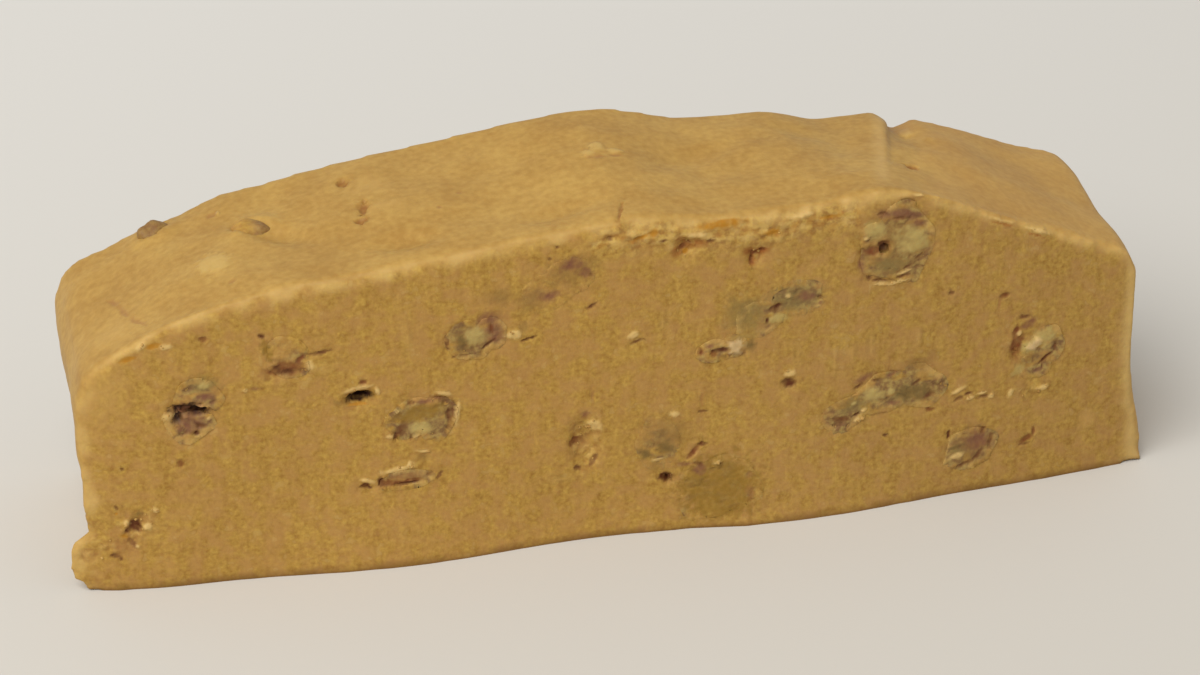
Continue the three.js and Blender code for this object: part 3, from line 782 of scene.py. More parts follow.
places[:, 0] = np.where(height < LIP_TOP[1], np.maximum(places[:, 0], wall_end), places[:, 0])
put_places(slice_body, places)
print("lip drawn by up to, mm:", round(float(np.abs(places - before).max()), 2))

# %% [markdown]
# Every kind of mark has a colour, a strength, a depth that it is pressed in or stands out, and a core, the
# share of its oval that is fully covered. Soft things like haze have a small core and fade far out. Colours
# are sRGB hex values, as a colour picker gives them. The kinds are listed in the order they are laid down.
# Torn crumb, ledges and film have no one colour of their own.

# %% Kinds of mark
MARK_KINDS = {
    "haze": ("#8a6832", 0.65, 0.0, 0.2),
    "sage": ("#7d6837", 0.65, 0.0, 0.3),
    "gold": ("#8b6922", 0.8, 0.0, 0.7),
    "smear": ("#bd9650", 0.45, -0.05, 0.2),
    "cream": ("#c2a05a", 0.7, -0.2, 0.6),
    "flesh": ("#b29a59", 0.8, -0.1, 0.5),
    "olive": ("#70582a", 0.8, 0.03, 0.4),
    "mauve": ("#7b4d36", 0.75, 0.05, 0.3),
    "skin": ("#6c421e", 0.85, 0.15, 0.5),
    "fleck": ("#9a6c3a", 0.6, 0.1, 0.3),
    "rust": ("#935820", 0.75, 0.05, 0.4),
    "red": ("#75401a", 0.85, 0.15, 0.5),
    "orange": ("#ac761c", 0.95, 0.1, 0.4),
    "crack": ("#96682f", 0.8, 0.25, 0.5),
    "hole": ("#8f602b", 0.85, 0.5, 0.5),
    # Painted shade: dark brown in holes and crevices, over red-brown walnut skin where they are in a walnut.
    "dark": ("#5c2d0c", 0.95, 0.2, 0.5),
    # Painted shade: very dark brown in the deepest air holes.
    "deep": ("#321508", 0.95, 0.7, 0.5),
    # Painted highlight: pinkish light on small raised ridges inside a dark cavity.
    "rose": ("#94603f", 0.75, -0.5, 0.5),
    # Pale crumb, and also painted highlight on lips of holes and rims of walnuts that catch the lamp.
    "pale": ("#d0ae6c", 0.85, -0.15, 0.5),
    "chip": ("#c9aa78", 0.85, -0.2, 0.6),
}
UNCOLOURED = ("torn", "ledge", "film")
UNCOLOURED_CORE = 0.4
SOFT_EDGE = 1.25
RAGGED = [(0.4, 0.9, 8), (0.3, 0.4, 15)]


def mark_covers(places, marks, axis):
    """For every kind, 1 inside its marks and 0 outside, fading over their ragged outlines."""
    ragged = 1 + waves(places, RAGGED)
    covers = {kind: np.zeros(len(places)) for kind in (*MARK_KINDS, *UNCOLOURED)}
    for kind, *shape in marks:
        core = MARK_KINDS[kind][3] if kind in MARK_KINDS else UNCOLOURED_CORE
        cover = 1 - soft_step(core, SOFT_EDGE, oval(places[:, 0], places[:, axis], shape) * ragged)
        covers[kind] = np.maximum(covers[kind], cover)
    return covers


def mark_relief(covers):
    return sum(-MARK_KINDS[kind][2] * covers[kind] for kind in MARK_KINDS)


print("kinds of mark:", len(MARK_KINDS))

# %% [markdown]
# The top carries the marks of the hands: slow waves, a few shallow presses, the small marks listed above,
# and a fold near the right where one lap of fudge ends on another and stands up as a low ridge. A press is
# an oval and its depth. One below zero is a filled place.

# %% Waves, presses and the fold on the top
TOP_PRESSES = [
    (-45.0, 2.0, 9.0, 2.6, -48, 0.9), (-28.5, -9.5, 6.0, 2.8, -8, 0.7), (14.0, 3.0, 9.0, 3.0, 25, 0.4),
    (30.0, 9.0, 7.0, 3.0, -30, 0.3), (-8.0, -10.0, 8.0, 2.4, 8, 0.4), (46.0, 3.0, 3.2, 9.0, 0, -0.6),
    (-59.2, 13.9, 4.5, 4.0, 0, -0.7), (-47.0, 4.7, 5.0, 4.2, 0, -0.7),
]
TOP_WAVES = [(0.35, (13, 10, 13), 1), (0.18, (6, 4.5, 6), 2), (0.04, 1.8, 3)]
PRESS_EDGE = (0.2, 1.1)
FOLD_STEP = 0.7
LAP_RISES = (-7.0, -0.8)
LAP_DROPS = (-0.6, 0.5)
LAP_FADES = (-10, 6)
FADES_TO_EDGE = (0.2, 2.0)


def top_relief(places):
    relief = waves(places, TOP_WAVES)
    for *shape, press in TOP_PRESSES:
        relief -= press * (1 - soft_step(*PRESS_EDGE, oval(places[:, 0], places[:, 1], shape)))
    past = past_fold(places)
    lap_end = soft_step(*LAP_RISES, past) * (1 - soft_step(*LAP_DROPS, past))
    relief += FOLD_STEP * lap_end * soft_step(*LAP_FADES, places[:, 1])
    return relief + mark_relief(mark_covers(places, TOP_MARKS, 1)) * (below_crown(places) < TOP_DEPTH)


places, facings = places_of(slice_body), facings_of(slice_body)
raised = skin_share(places, facings) * soft_step(*FADES_TO_EDGE, inside_cuts(places))
raised *= facings[:, 2] > -LEANS
places += facings * (raised * top_relief(places))[:, None]
put_places(slice_body, places)
print("highest place of the top, mm:", round(float(places[:, 2].max()), 2))

# %% [markdown]
# The cuts are flat but not polished: the knife dragged fine upright streaks, pulled crumbs out round the
# holes, tore rough patches and ledges, and broke small chips from the edges. Each of these is a small move
# of the vertices in or out. First the rim of every walnut's pocket is drawn level with the cut, closed in
# and tucked just under the face of the walnut, least where a film of fudge hides the rim.

# %% Relief on the two cuts
CUT_WAVES = [(0.2, 17, 4), (0.035, (1.2, 40, 15), 5), (0.06, 1.6, 6), (0.04, 0.7, 7)]
FADES_TO_FOOT = (0.2, 2.0)
LUMPS = {"torn": 0.8, "ledge": (3.0, 3.0, 0.8)}
LUMP_HEIGHT = {"torn": 0.26, "ledge": 0.4}
HOLES = ("dark", "deep", "red")
HOLE_RIM = 0.14
HOLE_RING = (1.5, 0.3)
HOLE_RIM_BITS = 1.1
HOLE_RIM_KEPT = 0.3
BROKEN = 0.12
BROKEN_BITS = (1.6, 1.6, 0.8)
BROKEN_STRIP = (1.6, 1.3)
POCKET_RIM = 1.0
POCKET_UNDER_CROWN = 0.8
CLOSES_BY = (0.15, 0.75)
TUCKS_OVER = (0, 0.3)
TUCKED = 0.11
TUCKED_UNDER_FILM = 0.02
FILMED_OVER = ("walnut_front_06", "walnut_front_07", "walnut_front_09", "walnut_front_10")
PLAIN_EDGE = {"front": 0.2, "back": 0.04}
CRUMBLY_EDGE = {"front": [(-4, 31)], "back": []}
CRUMBLY_FADES = 3.0
CRUMBLY = (0.5, 1.0)
CUT_REACH = 4.5
LOOKS_OUT = (0.3, 0.7)
CHIP = 0.4
CHIP_BACK = 0.8
CHIP_SIZES = (1.6, 3.0, 1.6)
CHIP_STRIP = 1.0
CHIP_SPREAD = 0.35


def lumps_of(places, kind):
    return rough(places, LUMPS[kind], 16)


def band(value, middle, half):
    """A soft band that is 1 at its middle and nearly gone at twice its half width."""
    return np.exp(-(((value - middle) / half) ** 2))


def crumbly_share(places, side):
    share = np.full(len(places), PLAIN_EDGE[side])
    for start, end in CRUMBLY_EDGE[side]:
        begun = soft_step(start - CRUMBLY_FADES, start, places[:, 0])
        within = begun * (1 - soft_step(end, end + CRUMBLY_FADES, places[:, 0]))
        share = np.maximum(share, within)
    return share


def cut_relief(places, side, covers):
    """How far the cut stands out, in millimetres."""
    relief = waves(places, CUT_WAVES) + mark_relief(covers)
    for kind, height in LUMP_HEIGHT.items():
        relief += height * covers[kind] * lumps_of(places, kind)
    from_edge = from_outline(places, side).min(axis=1)
    broken = band(from_edge, *BROKEN_STRIP) * soft_step(*CRUMBLY, crumbly_share(places, side))
    relief += BROKEN * broken * rough(places, BROKEN_BITS, 24)
    wobble = rough(places, HOLE_RIM_BITS, 17)
    for kind, *shape in cut_marks[side]:
        if kind in HOLES:
            ring = oval(places[:, 0], places[:, 2], shape)
            relief += HOLE_RIM * band(ring, *HOLE_RING) * np.maximum(HOLE_RIM_KEPT + wobble, 0)
    return relief * soft_step(*FADES_TO_FOOT, places[:, 2])


def close_pockets(side):
    places, facings = places_of(slice_body), facings_of(slice_body)
    depth = depth_in_cut(places, side)
    rim = beside(places, "walnut_" + side, NEAR_WALNUT) & (depth > 0) & (depth < POCKET_RIM)
    rim &= below_crown(places) > POCKET_UNDER_CROWN
    rim &= facings[:, 1] * OUT[side] > -LEANS
    closing = rim * (CLOSES_BY[0] + CLOSES_BY[1] * depth)
    places[:, 0] += facings[:, 0] * closing
    places[:, 2] = np.maximum(places[:, 2] + facings[:, 2] * closing, 0)
    tuck = np.full(len(places), TUCKED)
    for node_name in FILMED_OVER:
        tuck[beside(places, node_name, NEAR_WALNUT)] = TUCKED_UNDER_FILM
    level = depth - tuck * soft_step(*TUCKS_OVER, depth)
    places[rim, 1] += OUT[side] * level[rim]
    put_places(slice_body, places)


def dress_cut(side):
    places, facings = places_of(slice_body), facings_of(slice_body)
    outward = facings[:, 1] * OUT[side]
    near = np.flatnonzero((depth_in_cut(places, side) < CUT_REACH) & (outward > LOOKS_OUT[0]))
    covers = mark_covers(places[near], cut_marks[side], 2)
    lift = soft_step(*LOOKS_OUT, outward[near]) * cut_relief(places[near], side, covers)
    places[near, 1] += OUT[side] * lift
    gaps = from_outline(places, side)
    chip = np.maximum(rough(places, CHIP_SIZES, 9) + CHIP_SPREAD, 0) * crumbly_share(places, side)
    chip *= CHIP * band(gaps.min(axis=1), 0, CHIP_STRIP)
    nearest = gaps.argmin(axis=1)
    places[:, 2] -= chip * (nearest == 0)
    places[:, 0] += chip * (nearest == 1) - chip * (nearest == 2)
    places[:, 1] -= OUT[side] * chip * CHIP_BACK
    put_places(slice_body, places)
    print(side, "cut dressed, relief in mm:", round(float(lift.min()), 2), "to", round(float(lift.max()), 2))


for side in OUT:
    close_pockets(side)
    dress_cut(side)

# %% [markdown]
# The stains of the marks are stored on the vertices as one colour attribute whose alpha says how much of
# the stain covers the fudge. That keeps every stain exactly where its hole or crumb is. All colours are
# turned to linear light by one function.

# %% Stains on the fudge
def linear(hex_code):
    channels = [int(hex_code[place:place + 2], 16) / 255 for place in (1, 3, 5)]
    return tuple(c / 12.92 if c <= 0.04045 else ((c + 0.055) / 1.055) ** 2.4 for c in channels)


LUMP_SHOWS = (0.05, 0.4)
UNEVEN = [(0.45, 0.6, 31)]
TORN_PALE = ("#c4a058", 0.6)
TORN_BROWN = ("#8a5d2a", 0.55)
STAIN_REACH = 5.0
MOSTLY_SKIN = 0.9


def lay_stain(paint, stain, cover):
    """Lays one stain over what is there already."""
    colour, strength = stain
    share = np.clip(cover * strength, 0, 1)[:, None]
    total = share + paint[:, 3:] * (1 - share)
    mixed = np.array(linear(colour)) * share + paint[:, :3] * paint[:, 3:] * (1 - share)
    paint[:, :3] = mixed / np.maximum(total, 1e-6)
    paint[:, 3:] = total


def stain_marks(places, covers, shown):
    paint = np.zeros((len(places), 4))
    shown = shown * (1 + waves(places, UNEVEN))
    for kind in LUMPS:
        lumps = lumps_of(places, kind)
        lay_stain(paint, TORN_PALE, covers[kind] * soft_step(*LUMP_SHOWS, lumps) * shown)
        lay_stain(paint, TORN_BROWN, covers[kind] * soft_step(*LUMP_SHOWS, -lumps) * shown)
    for kind, (colour, strength, _, _) in MARK_KINDS.items():
        lay_stain(paint, (colour, strength), covers[kind] * shown)
    return paint


def store(piece, name, kind, values):
    attribute = piece.data.attributes.new(name, kind, "POINT")
    field = "color" if kind == "FLOAT_COLOR" else "value"
    attribute.data.foreach_set(field, values.astype(np.float32).ravel())


places, facings = places_of(slice_body), facings_of(slice_body)
skin = skin_share(places, facings)
shown = skin * (below_crown(places) < TOP_MARK_DEPTH)
paint = stain_marks(places, mark_covers(places, TOP_MARKS, 1), shown)
crumb = np.zeros(len(places))
for side in OUT:
    near = np.flatnonzero((depth_in_cut(places, side) < STAIN_REACH) & (skin < MOSTLY_SKIN))
    covers = mark_covers(places[near], cut_marks[side], 2)
    cut_paint = stain_marks(places[near], covers, 1 - skin[near])
    paint[near] = np.where(cut_paint[:, 3:] > paint[near, 3:], cut_paint, paint[near])
    clings = np.maximum(covers["torn"], covers["pale"]) - sum(covers[kind] for kind in HOLES)
    crumb[near] = np.maximum(crumb[near], clings * (1 - skin[near]))
print("stained share of the vertices:", round(float((paint[:, 3] > 0.3).mean()), 3))

# %% [markdown]
# Along the upper edges a narrow pale line is painted: painted highlight, where the slightly rounded edge
# catches the lamp. There are also brown, gritty and crumbly stretches, with pale crumb bits. The right ends
# of the cuts are paler, and the foot is painted darker where it meets the table: painted contact shadow. The
# fold shows as a pale rounded end and, at the back, a browner face beside it. The lap past it is a little
# paler.

# %% Stains along the edges and the fold
# The pale of the edges: a painted highlight along them, and also the colour of pale crumb bits.
EDGE_HIGHLIGHT_AND_PALE_BITS = ("#cfac66", 0.6)
EDGE_BROWN = ("#a8722c", 0.5)
END_PALE = ("#cfae6c", 0.6)
# Colour of the painted contact shadow along the foot.
FOOT_CONTACT_SHADOW = ("#6a461a", 0.85)
FOLD_PALE = ("#c9a668", 0.4)
FOLD_BROWN = ("#a07846", 0.6)
LAP_PALE = ("#d19a54", 0.15)
GRIT_SHARE = 0.5
GRIT_ENDS = (2.0, 6.0)
END_STRIP = 1.2
PALE_STRIP = 0.8
BROWN_STRIP = (1.8, 1.5)
PATCHES = 3.0
PATCH_SHOWS = (-0.5, 0.3)
BITS = (1.3, 1.3, 0.7)
BIT_SHOWS = (0.05, 0.3)
FOOT_STRIP = 0.45
FOLD_END = (-1.2, 1.0)
FOLD_END_FADES = (-15, -8)
FOLD_FACE = ((-0.1, 0.4), (2.5, 6.5))
FOLD_FACE_FADES = (11.8, 13.4)
LAP_PALES = (2, 8)
LOOKS_UP = 0.1
patchy = rough(places, PATCHES, 10)
bits = rough(places, BITS, 24)
grit = np.zeros(len(places))
for side in OUT:
    gaps = from_outline(places, side)
    from_edge = gaps.min(axis=1)
    lay_stain(paint, END_PALE, band(gaps[:, 2], 0, END_STRIP) * (1 - skin))
    crumbly = soft_step(*CRUMBLY, crumbly_share(places, side))
    grit = np.maximum(grit, GRIT_SHARE * crumbly * (1 - soft_step(*GRIT_ENDS, from_edge)) * (1 - skin))
    bare = 1 - paint[:, 3]
    # Painted highlight: a narrow pale line along the edges of the cut, where the rounded edge catches the
    # lamp.
    lay_stain(paint, EDGE_HIGHLIGHT_AND_PALE_BITS, bare * band(from_edge, 0, PALE_STRIP) * soft_step(*PATCH_SHOWS, patchy))
    broken = bare * band(from_edge, *BROWN_STRIP) * crumbly * (1 - skin)
    lay_stain(paint, EDGE_BROWN, broken * soft_step(*BIT_SHOWS, -bits))
    lay_stain(paint, EDGE_HIGHLIGHT_AND_PALE_BITS, broken * soft_step(*BIT_SHOWS, bits))
# Painted contact shadow: the fudge is darkened just above the table, all along the foot.
lay_stain(paint, FOOT_CONTACT_SHADOW, band(places[:, 2], 0, FOOT_STRIP))
past = past_fold(places)
upward = skin * (facings[:, 2] > LOOKS_UP)
fold_end = band(past, *FOLD_END) * soft_step(*FOLD_END_FADES, places[:, 1])
lay_stain(paint, FOLD_PALE, fold_end * upward)
face_starts, face_ends = FOLD_FACE
fold_face = soft_step(*face_starts, past) * (1 - soft_step(*face_ends, past))
lay_stain(paint, FOLD_BROWN, fold_face * soft_step(*FOLD_FACE_FADES, places[:, 1]) * upward)
lay_stain(paint, LAP_PALE, soft_step(*LAP_PALES, past) * upward)
store(slice_body, "stain", "FLOAT_COLOR", paint)
store(slice_body, "skin", "FLOAT", skin)
store(slice_body, "grit", "FLOAT", grit)
print("gritty vertices:", int((grit > GRIT_SHARE / 2).sum()))

# %% [markdown]
# A walnut piece was sliced by the knife along with the fudge. Its solid fits loosely in its pocket, so the
# copy is grown sideways until it presses into the fudge, and its face is laid level with the cut, so that
# both have the same relief. Creases run over it where the noise crosses zero. The knife also dragged a film
# of fudge over its rim and in streaks over its face, more on some pieces than on others, and bruised the
# rim pale in places.

# %% Walnut pieces in the cuts
WALNUT_MESH = 0.24 * MM
GROWTH = 0.6
OVERLAP = 0.03
LEVEL_DEPTH = (0.35, 0.8)
FACE_TURN = (0.15, 0.6)
RIM_TURN = (0.15, 0.7)
FILM_STREAKS = (2.2, 3.0, 0.9)
FILM_SHOWS = (-0.3, 0.3)
HALF_SMEARED = 0.5
FILM_WIDTH = (0.35, 1.4)
FILM_RIM = (0.15, 1.0)
RIM_RAGGED = [(0.5, 1.4, 22)]
FOLD_SIZES = (2.1, 2.1, 1.5)
FOLD_HEIGHT = 0.14
CREASE = 0.18
CREASE_WIDTH = 0.16
CREASE_PATCHES = 2.6
CREASE_FADES = (-0.2, 0.2)
CREASE_SHOWS = 0.85
BRUISE = (0.2, 0.8)
BRUISE_PATCHES = 2.5
BRUISE_FADES = (0.0, 0.3)
STAIN_HIDES = 0.7
RIM_PALE = ("#c8a560", 0.45)
FRONT_SMEARED = [0.2, 0.5, 0.15, 0.2, 0.3, 0.8, 0.6, 0.35, 0.6, 0.2, 0.25, 0.2, 0.15, 0.3]
BACK_SMEARED = (0.1, 0.6)


def rim_distance(places, on_face):
    """Distance of every vertex from the outline of the walnut's cut face, in millimetres."""
    rim = np.flatnonzero((on_face > RIM_TURN[0]) & (on_face < RIM_TURN[1]))
    tree = kdtree.KDTree(len(rim))
    for index in rim.tolist():
        tree.insert(places[index], index)
    tree.balance()
    return np.array([tree.find(place)[2] for place in places.tolist()])


def lay_in_pocket(places, facings, on_face, side):
    """Places laid level with the cut, and the share by which each one was."""
    depth = depth_in_cut(places, side)
    level = 1 - soft_step(*LEVEL_DEPTH, depth)
    growth = GROWTH * (1 - on_face)
    laid = places + facings * np.stack([growth, 0 * growth, growth], axis=1)
    laid[:, 1] += OUT[side] * level * (depth + OVERLAP)
    return laid, level


def film_cover(places, from_rim, smeared, dragged):
    """1 where fudge hides the walnut: in streaks on its face, along its rim and where the marks say so."""
    over_face = soft_step(*FILM_SHOWS, rough(places, FILM_STREAKS, 21) + smeared - HALF_SMEARED)
    width = FILM_WIDTH[0] + FILM_WIDTH[1] * smeared
    ragged_rim = from_rim + waves(places, RIM_RAGGED)
    over_rim = 1 - soft_step(*FILM_RIM, ragged_rim / width)
    return np.maximum.reduce([over_face, over_rim, dragged])


def crease_cover(places, folds):
    """1 along the creases, where the folds cross zero, and only in some places."""
    in_patches = soft_step(*CREASE_FADES, rough(places, CREASE_PATCHES, 13))
    return (1 - soft_step(0.0, CREASE_WIDTH, np.abs(folds))) * in_patches


def store_walnut(piece, paint, crease, film):
    store(piece, "stain", "FLOAT_COLOR", paint)
    store(piece, "crease", "FLOAT", crease)
    store(piece, "film", "FLOAT", film)


def walnut_in_cut(node_name, side, smeared):
    piece = even_copy(node_name, node_name.replace("walnut", "walnut_piece"), WALNUT_MESH)
    melt_facets(piece, rounds=1, turns=4)
    places, facings = places_of(piece), facings_of(piece)
    on_face = soft_step(*FACE_TURN, facings[:, 1] * OUT[side])
    from_rim = rim_distance(places, on_face)
    places, level = lay_in_pocket(places, facings, on_face, side)
    covers = mark_covers(places, cut_marks[side], 2)
    film = film_cover(places, from_rim, smeared, covers["film"])
    folds = rough(places, FOLD_SIZES, 12)
    crease = crease_cover(places, folds) * (1 - film) * (1 - covers["flesh"])
    relief = cut_relief(places, side, covers) + FOLD_HEIGHT * folds * (1 - film) - CREASE * crease
    faces_out = np.maximum(level, on_face)
    places[:, 1] += OUT[side] * faces_out * relief
    put_places(piece, places)
    paint = stain_marks(places, covers, faces_out)
    in_patches = soft_step(*BRUISE_FADES, rough(places, BRUISE_PATCHES, 33))
    bruised = (1 - soft_step(*BRUISE, from_rim)) * in_patches
    lay_stain(paint, RIM_PALE, bruised * (1 - smeared) * (1 - STAIN_HIDES * paint[:, 3]))
    store_walnut(piece, paint, CREASE_SHOWS * crease, film)
    return piece


walnuts = {}
for node_name in sorted(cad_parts):
    if node_name.startswith("walnut_front"):
        walnuts[node_name] = walnut_in_cut(node_name, "front", FRONT_SMEARED[int(node_name[-2:]) - 1])
    if node_name.startswith("walnut_back"):
        walnuts[node_name] = walnut_in_cut(node_name, "back", draw.uniform(*BACK_SMEARED))
print("walnut pieces in the cuts:", len(walnuts), "triangles:", sum(map(count_triangles, walnuts.values())))

# %% [markdown]
# Two walnut pieces stand a little out of the top, under a film of fudge that hands pressed over them. It is
# thin on the crest of the left one and on the right end of the other, so the brown skin shows through
# there.

# %% Walnut pieces in the top
BARE_TOWARDS = {"walnut_top_01": 2, "walnut_top_02": 0}
BARE_FROM = (0.2, 0.75)
TOP_GROWTH = 0.4
TOP_FOLDS = 0.1
TOP_FOLD_SIZE = 1.6
BARE_RAGGED = 0.15
SKIN_SHOWS = 0.5
FILM_WORN = 0.85
for node_name, axis in BARE_TOWARDS.items():
    piece = even_copy(node_name, node_name.replace("walnut", "walnut_piece"), WALNUT_MESH)
    melt_facets(piece, rounds=4, turns=10)
    places, facings = places_of(piece), facings_of(piece)
    folds = rough(places, TOP_FOLD_SIZE, 12)
    grown = places + facings * (TOP_GROWTH + TOP_FOLDS * folds)[:, None]
    grown[:, 2] += crown_lift(places)
    put_places(piece, grown)
    along = places[:, axis]
    bare = soft_step(*BARE_FROM, (along - along.min()) / np.ptp(along) + BARE_RAGGED * folds)
    store_walnut(piece, np.zeros((len(places), 4)), SKIN_SHOWS * bare, 1 - FILM_WORN * bare)
    walnuts[node_name] = piece
print("all walnut pieces:", len(walnuts))

# %% [markdown]
# Crumbs that the knife pulled loose still cling to the torn places. Three crumbs are modelled from an ico
# sphere with its vertices shaken, and then repeated from arrays: each copy is drawn a place on the crumbly
# part of the fudge, a size and a turn.

# %% Clinging crumbs
CRUMBS = 90
CRUMB_SIZE = (0.09, 0.24)
CRUMB_SHAPE = (0.5, 1.3)
CRUMBLY_ENOUGH = 0.35
STANDS_OFF = 0.02
SHAKE = 0.4


def shaken_crumb(seed):
    bpy.ops.object.select_all(action="DESELECT")
    bpy.ops.mesh.primitive_ico_sphere_add(subdivisions=2, radius=1)
    crumb = bpy.context.object
    bpy.ops.object.mode_set(mode="EDIT")
    bpy.ops.transform.vertex_random(offset=SHAKE, uniform=0.0, normal=0.3, seed=seed)
    bpy.ops.object.mode_set(mode="OBJECT")
    corners = np.array([vertex.co for vertex in crumb.data.vertices])
    faces = np.array([polygon.vertices for polygon in crumb.data.polygons])
    bpy.data.objects.remove(crumb)
    return corners, faces


def random_turn(generator):
    matrix, _ = np.linalg.qr(generator.normal(size=(3, 3)))
    return matrix * np.sign(np.linalg.det(matrix))


draw = np.random.default_rng(23)
shapes = [shaken_crumb(seed) for seed in (1, 2, 3)]
places, facings = places_of(slice_body), facings_of(slice_body)
chances = np.where(crumb > CRUMBLY_ENOUGH, crumb, 0)
chosen = draw.choice(len(places), CRUMBS, p=chances / chances.sum())
corners, faces, count = [], [], 0
for number, index in enumerate(chosen):
    shape, shape_faces = shapes[number % len(shapes)]
    size = draw.uniform(*CRUMB_SIZE) * draw.uniform(*CRUMB_SHAPE, 3)
    turned = (shape * size) @ random_turn(draw)
    corners.append(turned + places[index] + facings[index] * STANDS_OFF)
    faces.append(shape_faces + count)
    count += len(shape)
crumb_mesh = bpy.data.meshes.new("fudge_crumbs")
crumb_mesh.from_pydata((np.concatenate(corners) * MM).tolist(), [], np.concatenate(faces).tolist())
crumbs = bpy.data.objects.new("fudge_crumbs", crumb_mesh)
bpy.context.scene.collection.objects.link(crumbs)
print("crumb triangles:", len(crumb_mesh.polygons))

# %% [markdown]
# Materials are built from nodes. One small function adds a node with its settings and links, so that a
# material reads from top to bottom as a list of what its surface has.

# %% Node helper
MIX_A, MIX_B, MIX_COLOUR = 6, 7, 2


def add_node(tree, kind, inputs, **settings):
    node = tree.nodes.new(kind)
    for setting, value in settings.items():
        setattr(node, setting, value)
    for socket, value in inputs.items():
        if isinstance(value, bpy.types.NodeSocket):
            tree.links.new(value, node.inputs[socket])
        else:
            node.inputs[socket].default_value = value
    return node


def new_material(name):
    material = bpy.data.materials.new(name)
    material.use_nodes = True
    tree = material.node_tree
    return material, tree, tree.nodes["Principled BSDF"]


def per_metre(size_mm):
    return 1000 / size_mm


def linear4(hex_code):
    return (*linear(hex_code), 1)


def let_light_in(shader):
    """Light goes a millimetre or so into fudge and walnut, and both have a weak gloss."""
    shader.inputs["Subsurface Weight"].default_value = 0.12
    shader.inputs["Subsurface Radius"].default_value = (1.0, 0.55, 0.25)
    shader.inputs["Subsurface Scale"].default_value = 1.0 * MM
    shader.inputs["Specular IOR Level"].default_value = 0.3


# %% [markdown]
# Penuche is cooked brown sugar, butter and cream beaten to a fine grain. Its cut is matt tan with paler and
# darker sugar grains, faint upright knife streaks, and patches that lean to yellow or to rose. Over the right
# half of the slice the cut colour is painted a little darker and less yellow: painted shade, away from the
# lamp on the left. The same colour is used for the film that the knife dragged over the walnuts, so it is
# made by a function of its own.

# %% Colour of cut penuche
def cut_fudge_colour(tree, where):
    grain = add_node(tree, "ShaderNodeTexNoise", {"Vector": where, "Scale": per_metre(0.65), "Detail": 3.0})
    upright = add_node(tree, "ShaderNodeMapping", {
        "Vector": where, "Scale": (per_metre(1.0), per_metre(40), per_metre(5))})
    streak = add_node(tree, "ShaderNodeTexNoise", {"Vector": upright.outputs[0], "Scale": 1.0, "Detail": 2.0})
    mottle = add_node(tree, "ShaderNodeMix", {
        0: 0.26, 2: grain.outputs[0], 3: streak.outputs[0]}, data_type="FLOAT")
    share = add_node(tree, "ShaderNodeMapRange", {
        "Value": mottle.outputs[0], "From Min": 0.3, "From Max": 0.7})
    tan = add_node(tree, "ShaderNodeMix", {
        0: share.outputs[0], MIX_A: linear4("#946b29"), MIX_B: linear4("#bd9745")}, data_type="RGBA")
    patch = add_node(tree, "ShaderNodeTexNoise", {"Vector": where, "Scale": per_metre(2.2), "Detail": 4.0})
    rosy = add_node(tree, "ShaderNodeMapRange", {
        "Value": patch.outputs[0], "From Min": 0.4, "From Max": 0.65, "To Max": 0.65})
    rosy_tan = add_node(tree, "ShaderNodeMix", {
        0: rosy.outputs[0], MIX_A: tan.outputs[MIX_COLOUR], MIX_B: linear4("#ae8248")}, data_type="RGBA")
    tear = add_node(tree, "ShaderNodeTexNoise", {"Vector": where, "Scale": per_metre(1.3), "Detail": 2.0})
    torn = add_node(tree, "ShaderNodeMapRange", {
        "Value": tear.outputs[0], "From Min": 0.64, "From Max": 0.72, "To Max": 0.3})
    brown_torn = add_node(tree, "ShaderNodeMix", {
        0: torn.outputs[0], MIX_A: rosy_tan.outputs[MIX_COLOUR], MIX_B: linear4("#8c6029")}, data_type="RGBA")
    lip = add_node(tree, "ShaderNodeMapRange", {
        "Value": tear.outputs[0], "From Min": 0.36, "From Max": 0.28, "To Max": 0.35})
    lipped = add_node(tree, "ShaderNodeMix", {
        0: lip.outputs[0], MIX_A: brown_torn.outputs[MIX_COLOUR], MIX_B: linear4("#c6a45f"),
    }, data_type="RGBA")
    # Painted shade: the cut is darkened and made less yellow towards the right, away from the lamp.
    place = add_node(tree, "ShaderNodeSeparateXYZ", {"Vector": where})
    shade_to_right = add_node(tree, "ShaderNodeMapRange", {
        "Value": place.outputs["X"], "From Min": -5 * MM, "From Max": 30 * MM})
    return add_node(tree, "ShaderNodeMix", {
        0: shade_to_right.outputs[0], MIX_A: lipped.outputs[MIX_COLOUR], MIX_B: linear4("#f7f8ff"),
    }, data_type="RGBA", blend_type="MULTIPLY")


# %% [markdown]
# Where hands smoothed it, butter makes the skin paler and satin. Light goes a millimetre or so into fudge,
# which softens its edges, so it has some subsurface scattering. Coarse sugar grit shows along the crumbly
# upper edge. The stains lie over all of it.

# %% Penuche fudge, beaten sugar and butter
fudge_material, tree, shader = new_material("penuche_fudge")
where = add_node(tree, "ShaderNodeTexCoord", {}).outputs["Object"]
skin_mask = add_node(tree, "ShaderNodeAttribute", {}, attribute_name="skin").outputs["Fac"]
grit_mask = add_node(tree, "ShaderNodeAttribute", {}, attribute_name="grit").outputs["Fac"]
stain = add_node(tree, "ShaderNodeAttribute", {}, attribute_name="stain")
cut_colour = cut_fudge_colour(tree, where)
grain = add_node(tree, "ShaderNodeTexNoise", {"Vector": where, "Scale": per_metre(1.0), "Detail": 3.0})
blotch = add_node(tree, "ShaderNodeTexNoise", {"Vector": where, "Scale": per_metre(8), "Detail": 3.0})
skin_mottle = add_node(tree, "ShaderNodeMix", {
    0: 0.5, 2: grain.outputs[0], 3: blotch.outputs[0]}, data_type="FLOAT")
skin_range = add_node(tree, "ShaderNodeMapRange", {
    "Value": skin_mottle.outputs[0], "From Min": 0.35, "From Max": 0.65})
